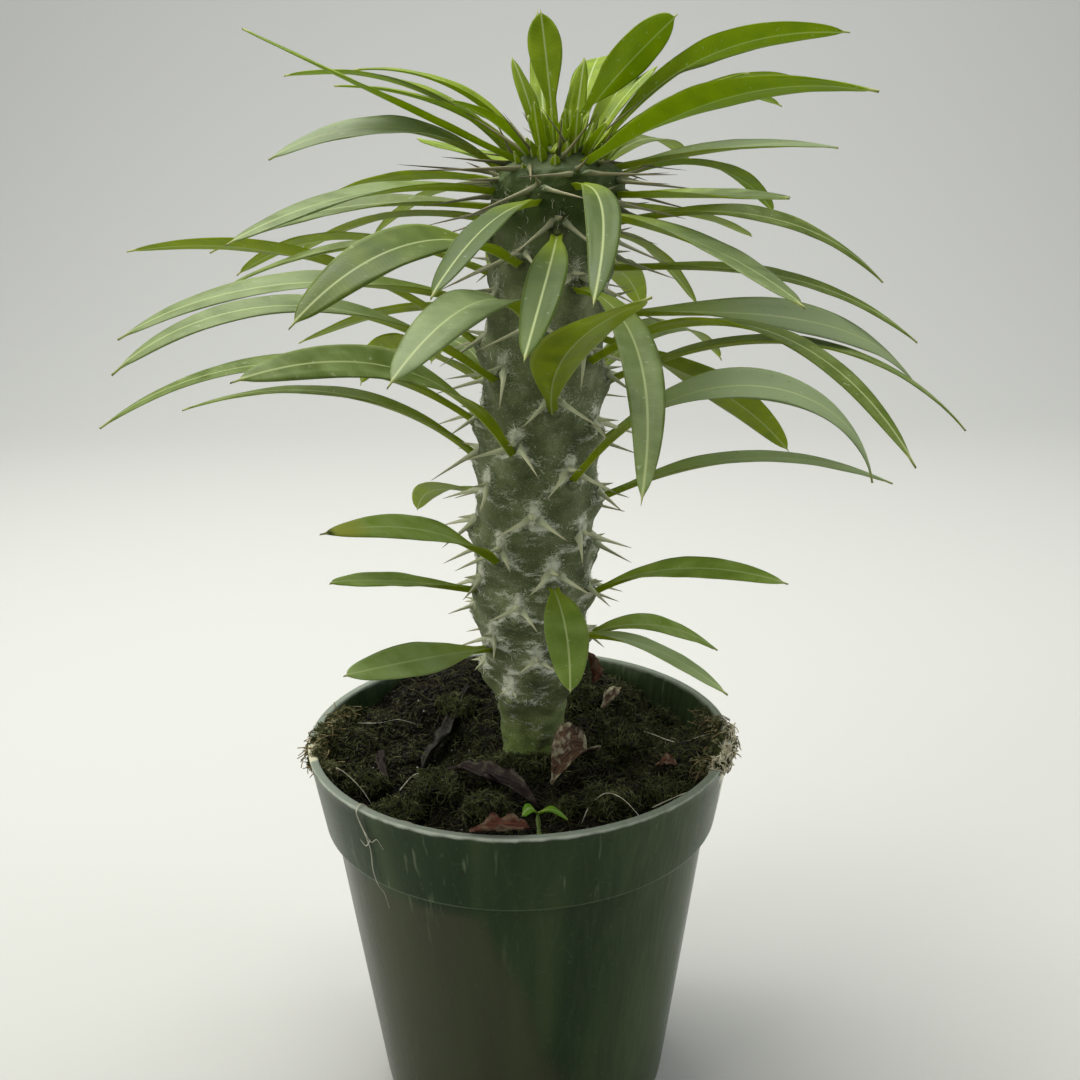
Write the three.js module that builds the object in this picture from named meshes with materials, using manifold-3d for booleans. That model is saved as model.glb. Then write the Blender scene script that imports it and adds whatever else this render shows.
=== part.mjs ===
// A Madagascar palm, Pachypodium lamerei, about two years old, in its nursery pot.
// Millimetres, +Z up. The origin is the middle of the pot's underside.
//
// pot and soil          a tapered plastic pot with a deep rim band, filled with peaty soil
// stem                  a swollen stem with a bump at every leaf base, and two spines on each
// leaf_NN               one strap leaf, named for the bump that it grows from
// crown                 the growing tip, with its spines and youngest leaves
// litter on the soil    dead leaves and a seedling

import * as THREE from 'three';
import { mergeVertices } from 'three/addons/utils/BufferGeometryUtils.js';
import Module from 'manifold-3d';

const wasm = await Module();
wasm.setup();

const { clamp, lerp } = THREE.MathUtils;

// ---------------------------------------------------------------- driving dimensions

const GAP = 0.3; // air left between pieces that touch

const POT_HEIGHT = 105;
const POT_RIM_RADIUS = 57;
const POT_FOOT_RADIUS = 40;
const POT_WALL = 1.6;
const POT_FLOOR = 3;
const POT_SIDES = 36; // flats round the pot, and round the soil that fills it
const BODY_TOP_RADIUS = 54; // what the body's taper would reach at the height of the rim
const BAND_HEIGHT = 21.5;
const BAND_FOOT = POT_HEIGHT - BAND_HEIGHT;
const BAND_STEP = 2.2; // how far the rim band stands out from the body below it
const BAND_EDGE = 0.8; // height of the band's slanted lower edge
const BAND_WALL = 2.3;
const BAND_TURN = 3; // height in which the inside steps out behind the band
const LIP = 0.6; // rounding of the lip's edges
const FOOT_ROUND = 1.5;
const DRAIN_HOLES = 6;
const DRAIN_RADIUS = 4;
const DRAIN_CIRCLE = 29;

const SOIL_LEVEL = 97;

const STEM_FOOT = new THREE.Vector3(3.4, 2, SOIL_LEVEL); // where the stem leaves the soil
const STEM_ROOT = -18; // lower end of the buried foot, below the soil
const STEM_LEAN = 8; // how far the top stands towards +X from the foot
const STEM_TOP = 150; // height at which the growing tip begins
const TIP_HEIGHT = 160;

const GOLDEN_ANGLE = 137.508; // turn from one bump to the next, degrees
const FIRST_BUMP_TURN = -28; // direction of bump 0, degrees from -Y towards +X
const BUMPS = 88;

const BLADE_EDGE = 0.7; // thickness of a leaf at its margin
const BLADE_RIB = 1.3; // and at its midrib
const FOLD_AT_BASE = 25; // how far each half of the blade lifts from flat, degrees
const FOLD_AT_TIP = -5;
const PETIOLE_WIDTH = 3;

const DEGREE = Math.PI / 180;

// ---------------------------------------------------------------- solids from vertices

// Turns a three.js geometry into a solid that can be joined and cut.
function solid(geometry) {
  const bare = geometry.clone();
  bare.deleteAttribute('normal');
  bare.deleteAttribute('uv');
  const merged = mergeVertices(bare, 1e-3);
  const corners = [];
  const index = merged.index.array;
  for (let i = 0; i < index.length; i += 3) {
    const [a, b, c] = [index[i], index[i + 1], index[i + 2]];
    if (a !== b && b !== c && c !== a) {
      corners.push(a, b, c);
    }
  }
  const vertProperties = new Float32Array(merged.attributes.position.array);
  const triVerts = new Uint32Array(corners);
  return new wasm.Manifold(new wasm.Mesh({ numProp: 3, vertProperties, triVerts }));
}

// Turns a solid back into a three.js geometry.
function geometryOf(body) {
  const mesh = body.getMesh();
  const geometry = new THREE.BufferGeometry();
  geometry.setAttribute('position', new THREE.BufferAttribute(mesh.vertProperties, 3));
  geometry.setIndex(new THREE.BufferAttribute(mesh.triVerts, 1));
  geometry.computeVertexNormals();
  return geometry;
}

// A closed skin through a row of rings with equal numbers of points, capped at both ends.
// From ring point mirrorFrom on, the quads are split along their other diagonal.
function loft(rings, mirrorFrom = Infinity) {
  const count = rings[0].length;
  const positions = rings.flat().flatMap((point) => point.toArray());
  const triangles = [];
  for (let k = 0; k + 1 < rings.length; k += 1) {
    for (let j = 0; j < count; j += 1) {
      const a = k * count + j;
      const b = k * count + (j + 1) % count;
      const c = b + count;
      const d = a + count;
      if (j < mirrorFrom) {
        triangles.push(a, b, c, a, c, d);
      } else {
        triangles.push(a, b, d, b, c, d);
      }
    }
  }
  const ends = [[rings[0], 0, true], [rings.at(-1), positions.length / 3 - count, false]];
  for (const [ring, first, turned] of ends) {
    const centre = new THREE.Vector3();
    ring.forEach((point) => centre.addScaledVector(point, 1 / count));
    const middle = positions.length / 3;
    positions.push(...centre.toArray());
    for (let j = 0; j < count; j += 1) {
      const a = first + j;
      const b = first + (j + 1) % count;
      triangles.push(...(turned ? [middle, b, a] : [middle, a, b]));
    }
  }
  const geometry = new THREE.BufferGeometry();
  geometry.setAttribute('position', new THREE.Float32BufferAttribute(positions, 3));
  geometry.setIndex(triangles);
  return geometry;
}

// The largest connected body of a solid, without the crumbs that a cut can leave.
function largest(body) {
  const bodies = body.decompose();
  bodies.sort((one, other) => other.volume() - one.volume());
  return bodies[0];
}

// Straight-line reading of a list of [place, value] pairs.
function reading(pairs, place) {
  for (let i = 0; i + 1 < pairs.length; i += 1) {
    const [from, low] = pairs[i];
    const [to, high] = pairs[i + 1];
    if (place <= to) {
      return lerp(low, high, Math.max(0, (place - from) / (to - from)));
    }
  }
  return pairs.at(-1)[1];
}

// Unit vector in plan at a turn from -Y towards +X, in degrees.
function outward(turn) {
  return new THREE.Vector3(Math.sin(turn * DEGREE), -Math.cos(turn * DEGREE), 0);
}

// ---------------------------------------------------------------- materials

function finish(color, roughness) {
  return new THREE.MeshStandardMaterial({ color, roughness });
}

const potPlastic = () => finish('#2c3f2c', 0.35);
const peat = () => finish('#1d1a15', 0.95);
const bark = () => finish('#7d8471', 0.8);
const olderLeaf = () => finish('#7f9470', 0.5);
const youngLeaf = () => finish('#7c9a35', 0.45);
const deadLeaf = (color) => finish(color, 0.85);

const named = (name, geometry, material) => {
  const mesh = new THREE.Mesh(geometry, material);
  mesh.name = name;
  return mesh;
};

// ---------------------------------------------------------------- pot

// Outer radius of the pot's tapered body.
const bodyRadius = (z) => lerp(POT_FOOT_RADIUS, BODY_TOP_RADIUS, z / POT_HEIGHT);

// Outer radius of the rim band, which widens towards the lip.
function bandRadius(z) {
  return lerp(bodyRadius(BAND_FOOT) + BAND_STEP, POT_RIM_RADIUS, (z - BAND_FOOT) / BAND_HEIGHT);
}

// Inner radius of the pot. The wall steps out behind the rim band.
function innerRadius(z) {
  const behindBand = clamp((z - BAND_FOOT) / BAND_TURN, 0, 1);
  return lerp(bodyRadius(z) - POT_WALL, bandRadius(z) - BAND_WALL, behindBand);
}

function makePot() {
  const profile = [
    [0, 0],
    [POT_FOOT_RADIUS - FOOT_ROUND, 0],
    [POT_FOOT_RADIUS, FOOT_ROUND],
    [bodyRadius(BAND_FOOT), BAND_FOOT],
    [bandRadius(BAND_FOOT), BAND_FOOT + BAND_EDGE],
    [POT_RIM_RADIUS, POT_HEIGHT - LIP],
    [POT_RIM_RADIUS - LIP, POT_HEIGHT],
    [innerRadius(POT_HEIGHT) + LIP, POT_HEIGHT],
    [innerRadius(POT_HEIGHT), POT_HEIGHT - LIP],
    [innerRadius(BAND_FOOT + BAND_TURN), BAND_FOOT + BAND_TURN],
    [innerRadius(BAND_FOOT), BAND_FOOT],
    [innerRadius(POT_FLOOR), POT_FLOOR],
    [0, POT_FLOOR],
  ];
  const shell = new THREE.LatheGeometry(profile.map(([r, z]) => new THREE.Vector2(r, z)), POT_SIDES);
  shell.rotateX(Math.PI / 2);
  let pot = solid(shell);
  for (let i = 0; i < DRAIN_HOLES; i += 1) {
    const hole = new THREE.CylinderGeometry(DRAIN_RADIUS, DRAIN_RADIUS, 3 * POT_FLOOR, 8);
    hole.rotateX(Math.PI / 2);
    hole.translate(DRAIN_CIRCLE, 0, 0);
    hole.rotateZ((i + 0.5) / DRAIN_HOLES * 2 * Math.PI);
    pot = pot.subtract(solid(hole));
  }
  return named('pot', geometryOf(pot), potPlastic());
}

// ---------------------------------------------------------------- soil

// Mounds of moss and clods: [x, y, radius, height]. A hollow has a negative height.
const MOUNDS = [
  [-6, 47, 30, 10],
  [-30, 38, 16, 3],
  [26, 38, 13, 5],
  [44, 26, 11, -4],
  [-52, 4, 16, 8],
  [52, -6, 16, 8],
  [0, -46, 22, -1],
  [3, -5, 9, 4],
  [-21, -21, 8, 4],
  [-9, -32, 8, 3],
  [21, -30, 8, 3],
  [26, 14, 12, 3],
  [-24, 8, 13, -3],
];

// Height of the soil at a place in plan.
function soilHeight(x, y) {
  let height = SOIL_LEVEL - 1;
  for (const [moundX, moundY, radius, rise] of MOUNDS) {
    height += rise * Math.exp(-((x - moundX) ** 2 + (y - moundY) ** 2) / radius ** 2);
  }
  return height + Math.sin(x / 4.3 + 1) * Math.sin(y / 3.9);
}

const SOIL_RINGS = 8; // rings of faces across the top of the soil

// The soil fills the pot to its walls. raise lifts its top, to cut what lies on it.
function soilBody(raise = 0) {
  const rings = [];
  for (const level of [POT_FLOOR + GAP, BAND_FOOT, BAND_FOOT + BAND_TURN]) {
    const ring = [];
    for (let j = 0; j < POT_SIDES; j += 1) {
      ring.push(outward(j / POT_SIDES * 360).multiplyScalar(innerRadius(level) - GAP).setZ(level));
    }
    rings.push(ring);
  }
  for (let k = 0; k < SOIL_RINGS; k += 1) {
    const ring = [];
    for (let j = 0; j < POT_SIDES; j += 1) {
      const way = outward(j / POT_SIDES * 360);
      const brink = way.clone().multiplyScalar(innerRadius(SOIL_LEVEL));
      const edge = innerRadius(Math.min(SOIL_LEVEL, soilHeight(brink.x, brink.y))) - GAP;
      const point = way.multiplyScalar(edge * (1 - k / SOIL_RINGS));
      ring.push(point.setZ(soilHeight(point.x, point.y) + raise));
    }
    rings.push(ring);
  }
  return solid(loft(rings));
}

// ---------------------------------------------------------------- stem

// Radius of the stem between its bumps, by height above the soil.
const STEM_RADII = [
  [STEM_ROOT, 7.5],
  [4, 7.9],
  [16, 9.4],
  [23, 11],
  [30, 12.5],
  [45, 14.6],
  [79, 15],
  [97, 15],
  [130, 14],
  [149, 13.2],
  [154, 11],
  [158, 7],
  [TIP_HEIGHT, 0.5],
];

const BUMP_HEIGHTS = [[0, 20], [26, 68], [50, 122.5]]; // [bump, height above the soil]
const LAST_EVEN = 50; // above this bump they crowd together
const CROWD_SPAN = 36; // height in which they would all fit
const CROWD_BUMPS = 16; // number of bumps in which their spacing falls to about a third

function bumpHeight(i) {
  const height = reading(BUMP_HEIGHTS, i);
  return i <= LAST_EVEN ? height : height + CROWD_SPAN * (1 - Math.exp((LAST_EVEN - i) / CROWD_BUMPS));
}

// An angle brought between -180 and 180 degrees.
const halfTurns = (angle) => THREE.MathUtils.euclideanModulo(angle + 180, 360) - 180;

const bumpTurn = (i) => halfTurns(FIRST_BUMP_TURN - GOLDEN_ANGLE * i);

// Middle of the stem at a height, in the plant's frame.
function stemAxis(height) {
  return new THREE.Vector3(STEM_LEAN * (Math.max(height, 0) / STEM_TOP) ** 2, 0, height);
}

const BUMP_RISE = 2.4;
const BUMP_LIMIT = 3.4; // where bumps crowd, they stand out no further than this
const BUMP_HALF_WIDTH = 3.8;
const BUMP_BELOW = 4.2; // how far a bump runs down the stem
const BUMP_ABOVE = 2.6;
const BUMP_REACH = 12; // beyond this height it no longer counts

// How far the surface stands out at a height and turn, from all the bumps near it.
function relief(height, turn) {
  const radius = reading(STEM_RADII, height);
  let total = 0;
  for (let i = 0; i < BUMPS; i += 1) {
    const up = height - bumpHeight(i);
    if (Math.abs(up) < BUMP_REACH) {
      const across = halfTurns(turn - bumpTurn(i)) * DEGREE * radius / BUMP_HALF_WIDTH;
      const lengthwise = up / (up > 0 ? BUMP_ABOVE : BUMP_BELOW);
      total += BUMP_RISE * Math.exp(-(across ** 2) - lengthwise ** 2);
    }
  }
  return Math.min(total, BUMP_LIMIT);
}

// A point on the stem, standing out by extra from the surface between the bumps.
function stemPoint(height, turn, extra) {
  return stemAxis(height).addScaledVector(outward(turn), reading(STEM_RADII, height) + extra);
}

const STEM_SIDES = 26;
const STEM_STEP = 3.8; // height of one ring of faces

// The skin of the stem between two heights, with its bumps, standing out by swell.
function stemBody(low, high, swell) {
  const rings = [];
  const steps = Math.ceil((high - low) / STEM_STEP);
  for (let k = 0; k <= steps; k += 1) {
    const height = lerp(low, high, k / steps);
    const ring = [];
    for (let j = 0; j < STEM_SIDES; j += 1) {
      const turn = j / STEM_SIDES * 360;
      const bump = height < TIP_HEIGHT ? relief(height, turn) : 0;
      ring.push(stemPoint(height, turn, bump + swell));
    }
    rings.push(ring);
  }
  return solid(loft(rings));
}

// ---------------------------------------------------------------- spines

// Two spines spread from above each leaf base, to the left and to the right.
const SPINE_SPREADS = [-42, 42];
const SPINE_RISES = [[0, -18], [60, -18], [75, 0], [BUMPS, 35]]; // how far they climb, by bump
const SPINE_ABOVE = 2.8; // how far above its leaf base a spine starts
const SPINE_ASIDE = 6; // and how far to the side of it, degrees
const SPINE_ROOT = 2.5; // length sunk in the stem

const spineLength = (i) => reading([[0, 5], [8, 8], [30, 12], [60, 17], [75, 23], [BUMPS, 20]], i);
const spineRadius = (i) => reading([[0, 0.9], [20, 1.2], [60, 1.1], [BUMPS, 0.8]], i);

const TIP_MARGIN = 2; // no spine starts nearer than this to the joint under the growing tip

const spineHeight = (i) => bumpHeight(i) + SPINE_ABOVE;
const onTip = (i) => spineHeight(i) > STEM_TOP - TIP_MARGIN;

// One three-sided spine. shorten and aside are how it is kept off a leaf.
function makeSpine(i, spread, shorten, aside) {
  const height = onTip(i) ? Math.max(spineHeight(i), STEM_TOP + TIP_MARGIN) : spineHeight(i);
  const turn = bumpTurn(i);
  const climb = reading(SPINE_RISES, i) * DEGREE;
  const heading = outward(turn + spread + aside).multiplyScalar(Math.cos(climb));
  heading.z = Math.sin(climb);
  const length = spineLength(i) * shorten;
  const spine = new THREE.ConeGeometry(spineRadius(i), length + SPINE_ROOT, 3, 1);
  spine.translate(0, (length + SPINE_ROOT) / 2 - SPINE_ROOT, 0);
  spine.applyQuaternion(new THREE.Quaternion().setFromUnitVectors(new THREE.Vector3(0, 1, 0), heading));
  const start = stemPoint(height, turn + Math.sign(spread) * SPINE_ASIDE, relief(height, turn) - GAP);
  spine.translate(start.x, start.y, start.z);
  return solid(spine);
}

// ---------------------------------------------------------------- leaves

// [bump, turn, sweep, rise, fall, bend, length, width, roll]
// turn   how far the leaf heads away from its bump's own direction, degrees towards +turn
// sweep  how far it curves sideways by its tip
// rise   climb at its base, and fall: climb at its tip
// bend   below 1 the leaf arches early, above 1 it arches late
// roll   how far the blade turns about its midrib, lifting its left margin
const LEAVES = [
  // low on the stem
  [7, 15, 15, 40, -40, 0.5, 46, 9, 20],
  [8, 15, 10, 15, 15, 1.3, 67, 10, -35],
  [10, -10, 5, 22, -12, 1.3, 66, 9, -10],
  [15, -5, -5, 35, -10, 0.9, 55, 9, 20],
  [16, 20, 30, 20, 15, 1.7, 60, 9, -15],
  [18, -10, -10, 0, -10, 1.3, 56, 10, 0],
  [21, 5, -20, 35, 0, 1.4, 62, 10, -30],
  [27, -5, -25, -5, -35, 1.5, 78, 9, 20],
  [28, 5, 5, 25, -25, 1.2, 79, 10, 5],
  // in front and at the sides
  [31, 20, 50, 50, -80, 1.7, 94, 12, 25],
  [32, 0, 5, 45, -20, 0.7, 90, 9, -5],
  [34, -10, -10, 50, -10, 1, 93, 12, -35],
  [37, 0, -5, 40, -35, 1, 97, 11, -10],
  [39, -15, 30, 30, 15, 1, 93, 13, 0],
  [40, -5, -25, 20, -45, 1.4, 80, 10, 50],
  [41, -5, -10, 25, -50, 1.3, 99, 9, 5],
  [42, -10, -15, 35, -40, 1.6, 98, 12, -15],
  [44, -5, -10, 28, -45, 1.3, 108, 9, -5],
  [45, -8, 0, 40, -10, 0.9, 102, 10, 25],
  [46, -5, 15, -20, -40, 1.6, 95, 11, -35],
  [47, 0, -15, 30, -30, 1.1, 90, 13, -10],
  [49, 10, 40, 0, -45, 2.2, 93, 13, 35],
  [50, -5, -5, 15, -30, 1.6, 89, 12, -15],
  [52, 0, -35, 10, -32, 0.5, 95, 8, 0],
  [54, -5, -10, 0, -40, 1.8, 88, 8, 20],
  [55, 5, -10, 20, -35, 1.3, 86, 12, -25],
  [58, -8, -10, 5, -30, 1.3, 76, 9, -10],
  [59, 15, -5, 5, -35, 0.8, 88, 8, 15],
  [60, -5, -5, -5, -18, 1.2, 88, 8, 0],
  [61, 0, 5, 10, -25, 1.1, 94, 8, 5],
  [62, 0, 10, 10, -45, 1.4, 72, 8, 25],
  [65, -5, -15, -5, -15, 1.3, 88, 12, -10],
  [66, -5, -5, 5, -25, 1.3, 86, 11, -25],
  [67, 15, 20, -5, -12, 1.3, 87, 8, 5],
  [68, 5, 0, 0, -20, 1.2, 88, 9, 10],
  [70, -30, -35, 0, 0, 1.3, 80, 10, 5],
  [71, 15, 15, 8, -22, 1, 75, 12, -5],
  [73, -5, -20, 5, -25, 0.8, 91, 7, 0],
  [74, -15, 0, 12, -12, 0.6, 86, 10, 10],
  // behind
  [33, 0, 5, 30, -40, 1.2, 90, 11, 10],
  [35, 5, -10, 35, -35, 1.2, 92, 11, -10],
  [38, -5, 5, 30, -40, 1.3, 95, 12, 15],
  [43, 0, 10, 20, -40, 1.3, 95, 12, -10],
  [48, 10, 35, 5, -25, 1.2, 76, 12, 10],
  [51, 0, 5, 10, -35, 1.3, 95, 11, -15],
  [53, 0, -10, 20, -30, 1.3, 90, 11, 10],
  [56, -5, 5, 15, -35, 1.2, 92, 12, 0],
  [64, 0, -10, 15, -25, 1.3, 92, 11, 10],
  [69, 5, 10, 10, -30, 1.2, 90, 11, -10],
  [72, 0, 5, 25, -20, 1.2, 88, 11, 10],
  // on the growing tip
  [75, 25, 25, 25, -30, 0.7, 78, 9, 5],
  [77, -5, -10, 30, -25, 1.1, 86, 11, 10],
  [79, 5, 0, 42, -30, 0.9, 60, 11, -25],
  [80, 0, 5, 40, -15, 1, 85, 10, 0],
  [82, 0, 0, 10, 10, 1, 52, 9, 0],
  [83, 25, 35, 10, -5, 1.3, 78, 9, 15],
  [85, 0, 10, 55, -5, 0.9, 78, 10, -10],
  [86, 5, -5, 18, -12, 1.6, 94, 10, -20],
  [87, -5, -5, 58, -5, 0.6, 76, 9, 5],
  [88, 5, 20, 60, -10, 0.5, 86, 10, -15],
  [90, -15, 0, 35, 55, 1.5, 59, 6, 0],
  [92, -10, -10, 25, 25, 1.3, 71, 8, 0],
  [93, -15, -5, 58, 40, 1.2, 36, 7, 20],
  [95, 30, -5, 60, -5, 0.9, 52, 9, -5],
  [96, 5, -5, 75, -5, 0.6, 70, 10, -35],
  [98, -30, 0, 70, 60, 1, 26, 4, 0],
  [99, 0, 0, 50, 40, 1, 10, 4, 0],
  [100, 0, 0, 45, 0, 0.8, 50, 7, 0],
  [101, 0, 0, 60, 30, 1, 30, 7, 0],
  [102, 132, -5, 57, 38, 0.4, 46, 12, -65],
  [103, 0, 0, 65, 50, 1, 28, 5, 0],
  [104, 0, 0, 40, 10, 1, 40, 6, 0],
  [105, 25, 5, 40, 5, 0.9, 30, 5, 0],
  [106, 0, 0, 75, 65, 1, 24, 4, 0],
  [107, 0, 0, 80, 70, 1, 10, 3, 0],
  [109, 0, 0, 50, 20, 1, 45, 7, 0],
  [110, 10, 0, 60, 70, 1, 12, 3, 0],
  [111, 0, 10, 70, 70, 1, 36, 8.5, -15],
];

const YOUNG = 75; // leaves from this bump on belong to the growing tip
const BLADE_STEPS = 7;
const PATH_STEPS = 3; // steps of its path in each of these
const BLADE_ROOT = 3; // length sunk in the bump before the stem is cut away

const SLIM_BASE = 1.1; // the outline narrows slowly to the base
const BLUNT_TIP = 0.5; // and rounds off quickly at the tip

// Half the width of a blade at a share of its length: a strap, widest past its middle.
function halfWidth(width, share) {
  const blunt = lerp(SLIM_BASE, BLUNT_TIP, share);
  const strap = width / 2 * Math.sin(Math.PI * share ** 1.2) ** blunt;
  return Math.max(strap, share < 0.5 ? PETIOLE_WIDTH / 2 : BLADE_EDGE);
}

// The stations of a leaf from base to tip: its midrib, its frame and its width.
function leafStations([bump, turn, sweep, rise, fall, bend, length, width, roll]) {
  const heading = (share) => bumpTurn(bump) + turn + sweep * share;
  const climb = (share) => (rise + (fall - rise) * share ** bend) * DEGREE;
  const tangent = (share) => {
    const way = outward(heading(share)).multiplyScalar(Math.cos(climb(share)));
    way.z = Math.sin(climb(share));
    return way;
  };
  const centre = stemPoint(bumpHeight(bump), bumpTurn(bump), BLADE_EDGE);
  const root = centre.clone().addScaledVector(outward(bumpTurn(bump)), -BLADE_ROOT);
  const stations = [];
  for (let k = 0; k <= BLADE_STEPS; k += 1) {
    const share = k / BLADE_STEPS;
    const forward = tangent(share);
    const side = outward(heading(share) + 90);
    side.applyAxisAngle(forward, roll * Math.min(1, 2 * share) * DEGREE);
    const up = new THREE.Vector3().crossVectors(forward, side);
    const half = halfWidth(width, share);
    if (k === 0) {
      stations.push({ centre: root, side, up, half, share });
    }
    stations.push({ centre: centre.clone(), side, up, half, share });
    for (let step = 0; step < PATH_STEPS; step += 1) {
      const ahead = share + (step + 0.5) / PATH_STEPS / BLADE_STEPS;
      centre.addScaledVector(tangent(ahead), length / BLADE_STEPS / PATH_STEPS);
    }
  }
  return stations;
}

// A blade along its stations: a trough at its base, nearly flat at its tip, with a thicker midrib.
function makeBlade(stations, foldAtBase = FOLD_AT_BASE, foldAtTip = FOLD_AT_TIP) {
  const rings = stations.map(({ centre, side, up, half, share }) => {
    const fold = lerp(foldAtBase, foldAtTip, share);
    const lift = half * Math.tan(fold * DEGREE);
    const rib = lerp(BLADE_RIB, BLADE_EDGE, share) / 2;
    const edge = BLADE_EDGE / 2;
    const upper = [[half, lift + edge], [0, rib], [-half, lift + edge]];
    const lower = [[-half, lift - edge], [0, -rib], [half, lift - edge]];
    return [...upper, ...lower].map(([across, out]) => (
      centre.clone().addScaledVector(side, across).addScaledVector(up, out)
    ));
  });
  return solid(loft(rings, 3));
}

// ---------------------------------------------------------------- plant

const PLANT_BUMPS = [...Array(BUMPS).keys()];
const blades = new Map(LEAVES.map((leaf) => [leaf[0], makeBlade(leafStations(leaf))]));

// The spine nearest its natural place that passes clear of every obstacle, or none.
function clearSpine(i, spread, obstacles) {
  for (const [shorten, aside] of [[1, 0], [1, 12], [1, -12], [0.8, 22], [0.8, -22], [0.5, 0]]) {
    const spine = makeSpine(i, spread, shorten, aside);
    if (obstacles.every((obstacle) => spine.intersect(obstacle).isEmpty())) {
      return [spine];
    }
  }
  return [];
}

function spinesOf(bumps, obstacles) {
  return bumps.flatMap((i) => SPINE_SPREADS.flatMap((spread) => clearSpine(i, spread, obstacles)));
}

const stemSpines = spinesOf(PLANT_BUMPS.filter((i) => !onTip(i)), [...blades.values()]);
const tipSpines = spinesOf(PLANT_BUMPS.filter(onTip), [...blades.values(), ...stemSpines]);

// What a leaf must stay clear of: the stem, the growing tip and the joint between them.
const stemSpace = wasm.Manifold.union([
  stemBody(STEM_ROOT, STEM_TOP, GAP),
  stemBody(STEM_TOP - 1, STEM_TOP + 1, GAP),
  stemBody(STEM_TOP + GAP, TIP_HEIGHT, GAP),
]);

const stem = wasm.Manifold.union([stemBody(STEM_ROOT, STEM_TOP, 0), ...stemSpines]);

const crown = wasm.Manifold.union([
  stemBody(STEM_TOP + GAP, TIP_HEIGHT, 0),
  ...tipSpines,
  ...LEAVES.filter(([bump]) => bump >= YOUNG).map(([bump]) => blades.get(bump)),
]).subtract(stemBody(STEM_ROOT, STEM_TOP, GAP));

const plant = new THREE.Group();
plant.position.copy(STEM_FOOT);
plant.add(named('stem', geometryOf(largest(stem)), bark()));
for (const [bump] of LEAVES.filter(([i]) => i < YOUNG)) {
  const leaf = largest(blades.get(bump).subtract(stemSpace));
  plant.add(named(`leaf_${String(bump).padStart(2, '0')}`, geometryOf(leaf), olderLeaf()));
}
plant.add(named('crown', geometryOf(largest(crown)), youngLeaf()));

// ---------------------------------------------------------------- litter on the soil

// Dead leaves: [name, x, y, heading, length, width, arch, curl, colour].
// They start at x, y on the soil or the pot's lip and head away. arch is how high their middle stands.
const LITTER = [
  ['dead_leaf_purple', -20, -6, 50, 32, 7, 1.5, 30, '#3a2c2a'],
  ['dead_leaf_tan', 8, -18, 140, 16, 11, 5, 45, '#6b5a45'],
  ['dead_leaf_red', -12, -54.2, 93, 14, 6, 0.5, 25, '#5a3c2c'],
  ['dead_leaf_grey', -15, 32, -18, 38, 5, 0.5, 20, '#3d3a35'],
];
const LITTER_STEPS = 6;
const LITTER_LIFT = 0.9; // how far the middle of a dead leaf lies above what it rests on
const LIP_REACH = 2; // how far in from the lip a leaf that lies on it stays level

const SEEDLING = { x: 4, y: -39, stalk: 5.5, foot: 0.8, neck: 0.6 };
const SEED_LEAVES = [[-70, 4], [75, 7.5]]; // [heading, length]
const SEED_LEAF_WIDTH = 3.6;
const SEED_LEAF_ARCH = 1.5;
const SEED_LEAF_STEPS = 4;

// The stations of a small leaf that starts at a point and arches over in one heading.
function archStations({ start, heading, length, width, arch, steps, tip }) {
  const side = outward(heading + 90);
  const up = new THREE.Vector3(0, 0, 1);
  const stations = [];
  for (let k = 0; k <= steps; k += 1) {
    const share = k / steps;
    const bulge = Math.sin(Math.PI * share);
    const centre = start.clone().addScaledVector(outward(heading), length * share);
    centre.z += arch * bulge;
    stations.push({ centre, side, up, half: Math.max(tip, width / 2 * bulge ** 0.6), share });
  }
  return stations;
}

// What a dead leaf rests on: the pot's lip near the rim, and the soil everywhere else.
function restHeight(x, y) {
  return Math.hypot(x, y) > innerRadius(POT_HEIGHT) - LIP_REACH ? POT_HEIGHT : soilHeight(x, y);
}

const litter = new THREE.Group();
const soilSpace = soilBody(GAP);
const plantSpace = stemSpace.translate(STEM_FOOT.toArray());
for (const [name, x, y, heading, length, width, arch, curl, color] of LITTER) {
  const start = new THREE.Vector3(x, y, LITTER_LIFT);
  const stations = archStations({
    start, heading, length, width, arch, steps: LITTER_STEPS, tip: BLADE_EDGE,
  });
  stations.forEach(({ centre }) => centre.setZ(centre.z + restHeight(centre.x, centre.y)));
  const leaf = makeBlade(stations, curl, curl).subtract(soilSpace).subtract(plantSpace);
  litter.add(named(name, geometryOf(largest(leaf)), deadLeaf(color)));
}

// A seedling: a short stalk with two seed leaves.
function makeSeedling({ x, y, stalk, foot, neck }) {
  const ground = soilHeight(x, y);
  const stalkShape = new THREE.CylinderGeometry(neck, foot, stalk, 6);
  stalkShape.rotateX(Math.PI / 2);
  stalkShape.translate(x, y, ground + stalk / 2 + GAP);
  const pieces = [solid(stalkShape)];
  for (const [heading, length] of SEED_LEAVES) {
    const start = new THREE.Vector3(x, y, ground + stalk).addScaledVector(outward(heading), -neck);
    const [width, arch, steps] = [SEED_LEAF_WIDTH, SEED_LEAF_ARCH, SEED_LEAF_STEPS];
    pieces.push(makeBlade(archStations({ start, heading, length, width, arch, steps, tip: neck })));
  }
  return largest(wasm.Manifold.union(pieces).subtract(soilSpace));
}
litter.add(named('seedling', geometryOf(makeSeedling(SEEDLING)), youngLeaf()));

// ---------------------------------------------------------------- the whole plant

const CLEAR_ABOVE = 12; // the hole for the stem is cut to this height above the soil
const soilHole = stemBody(STEM_ROOT - GAP, CLEAR_ABOVE, GAP).translate(STEM_FOOT.toArray());
const soil = largest(soilBody().subtract(soilHole));

const palm = new THREE.Group();
palm.add(makePot());
palm.add(named('soil', geometryOf(soil), peat()));
palm.add(plant);
palm.add(litter);

export default palm;
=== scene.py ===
import math
import bpy
import numpy as np
from mathutils import Matrix, Vector, noise


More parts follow.
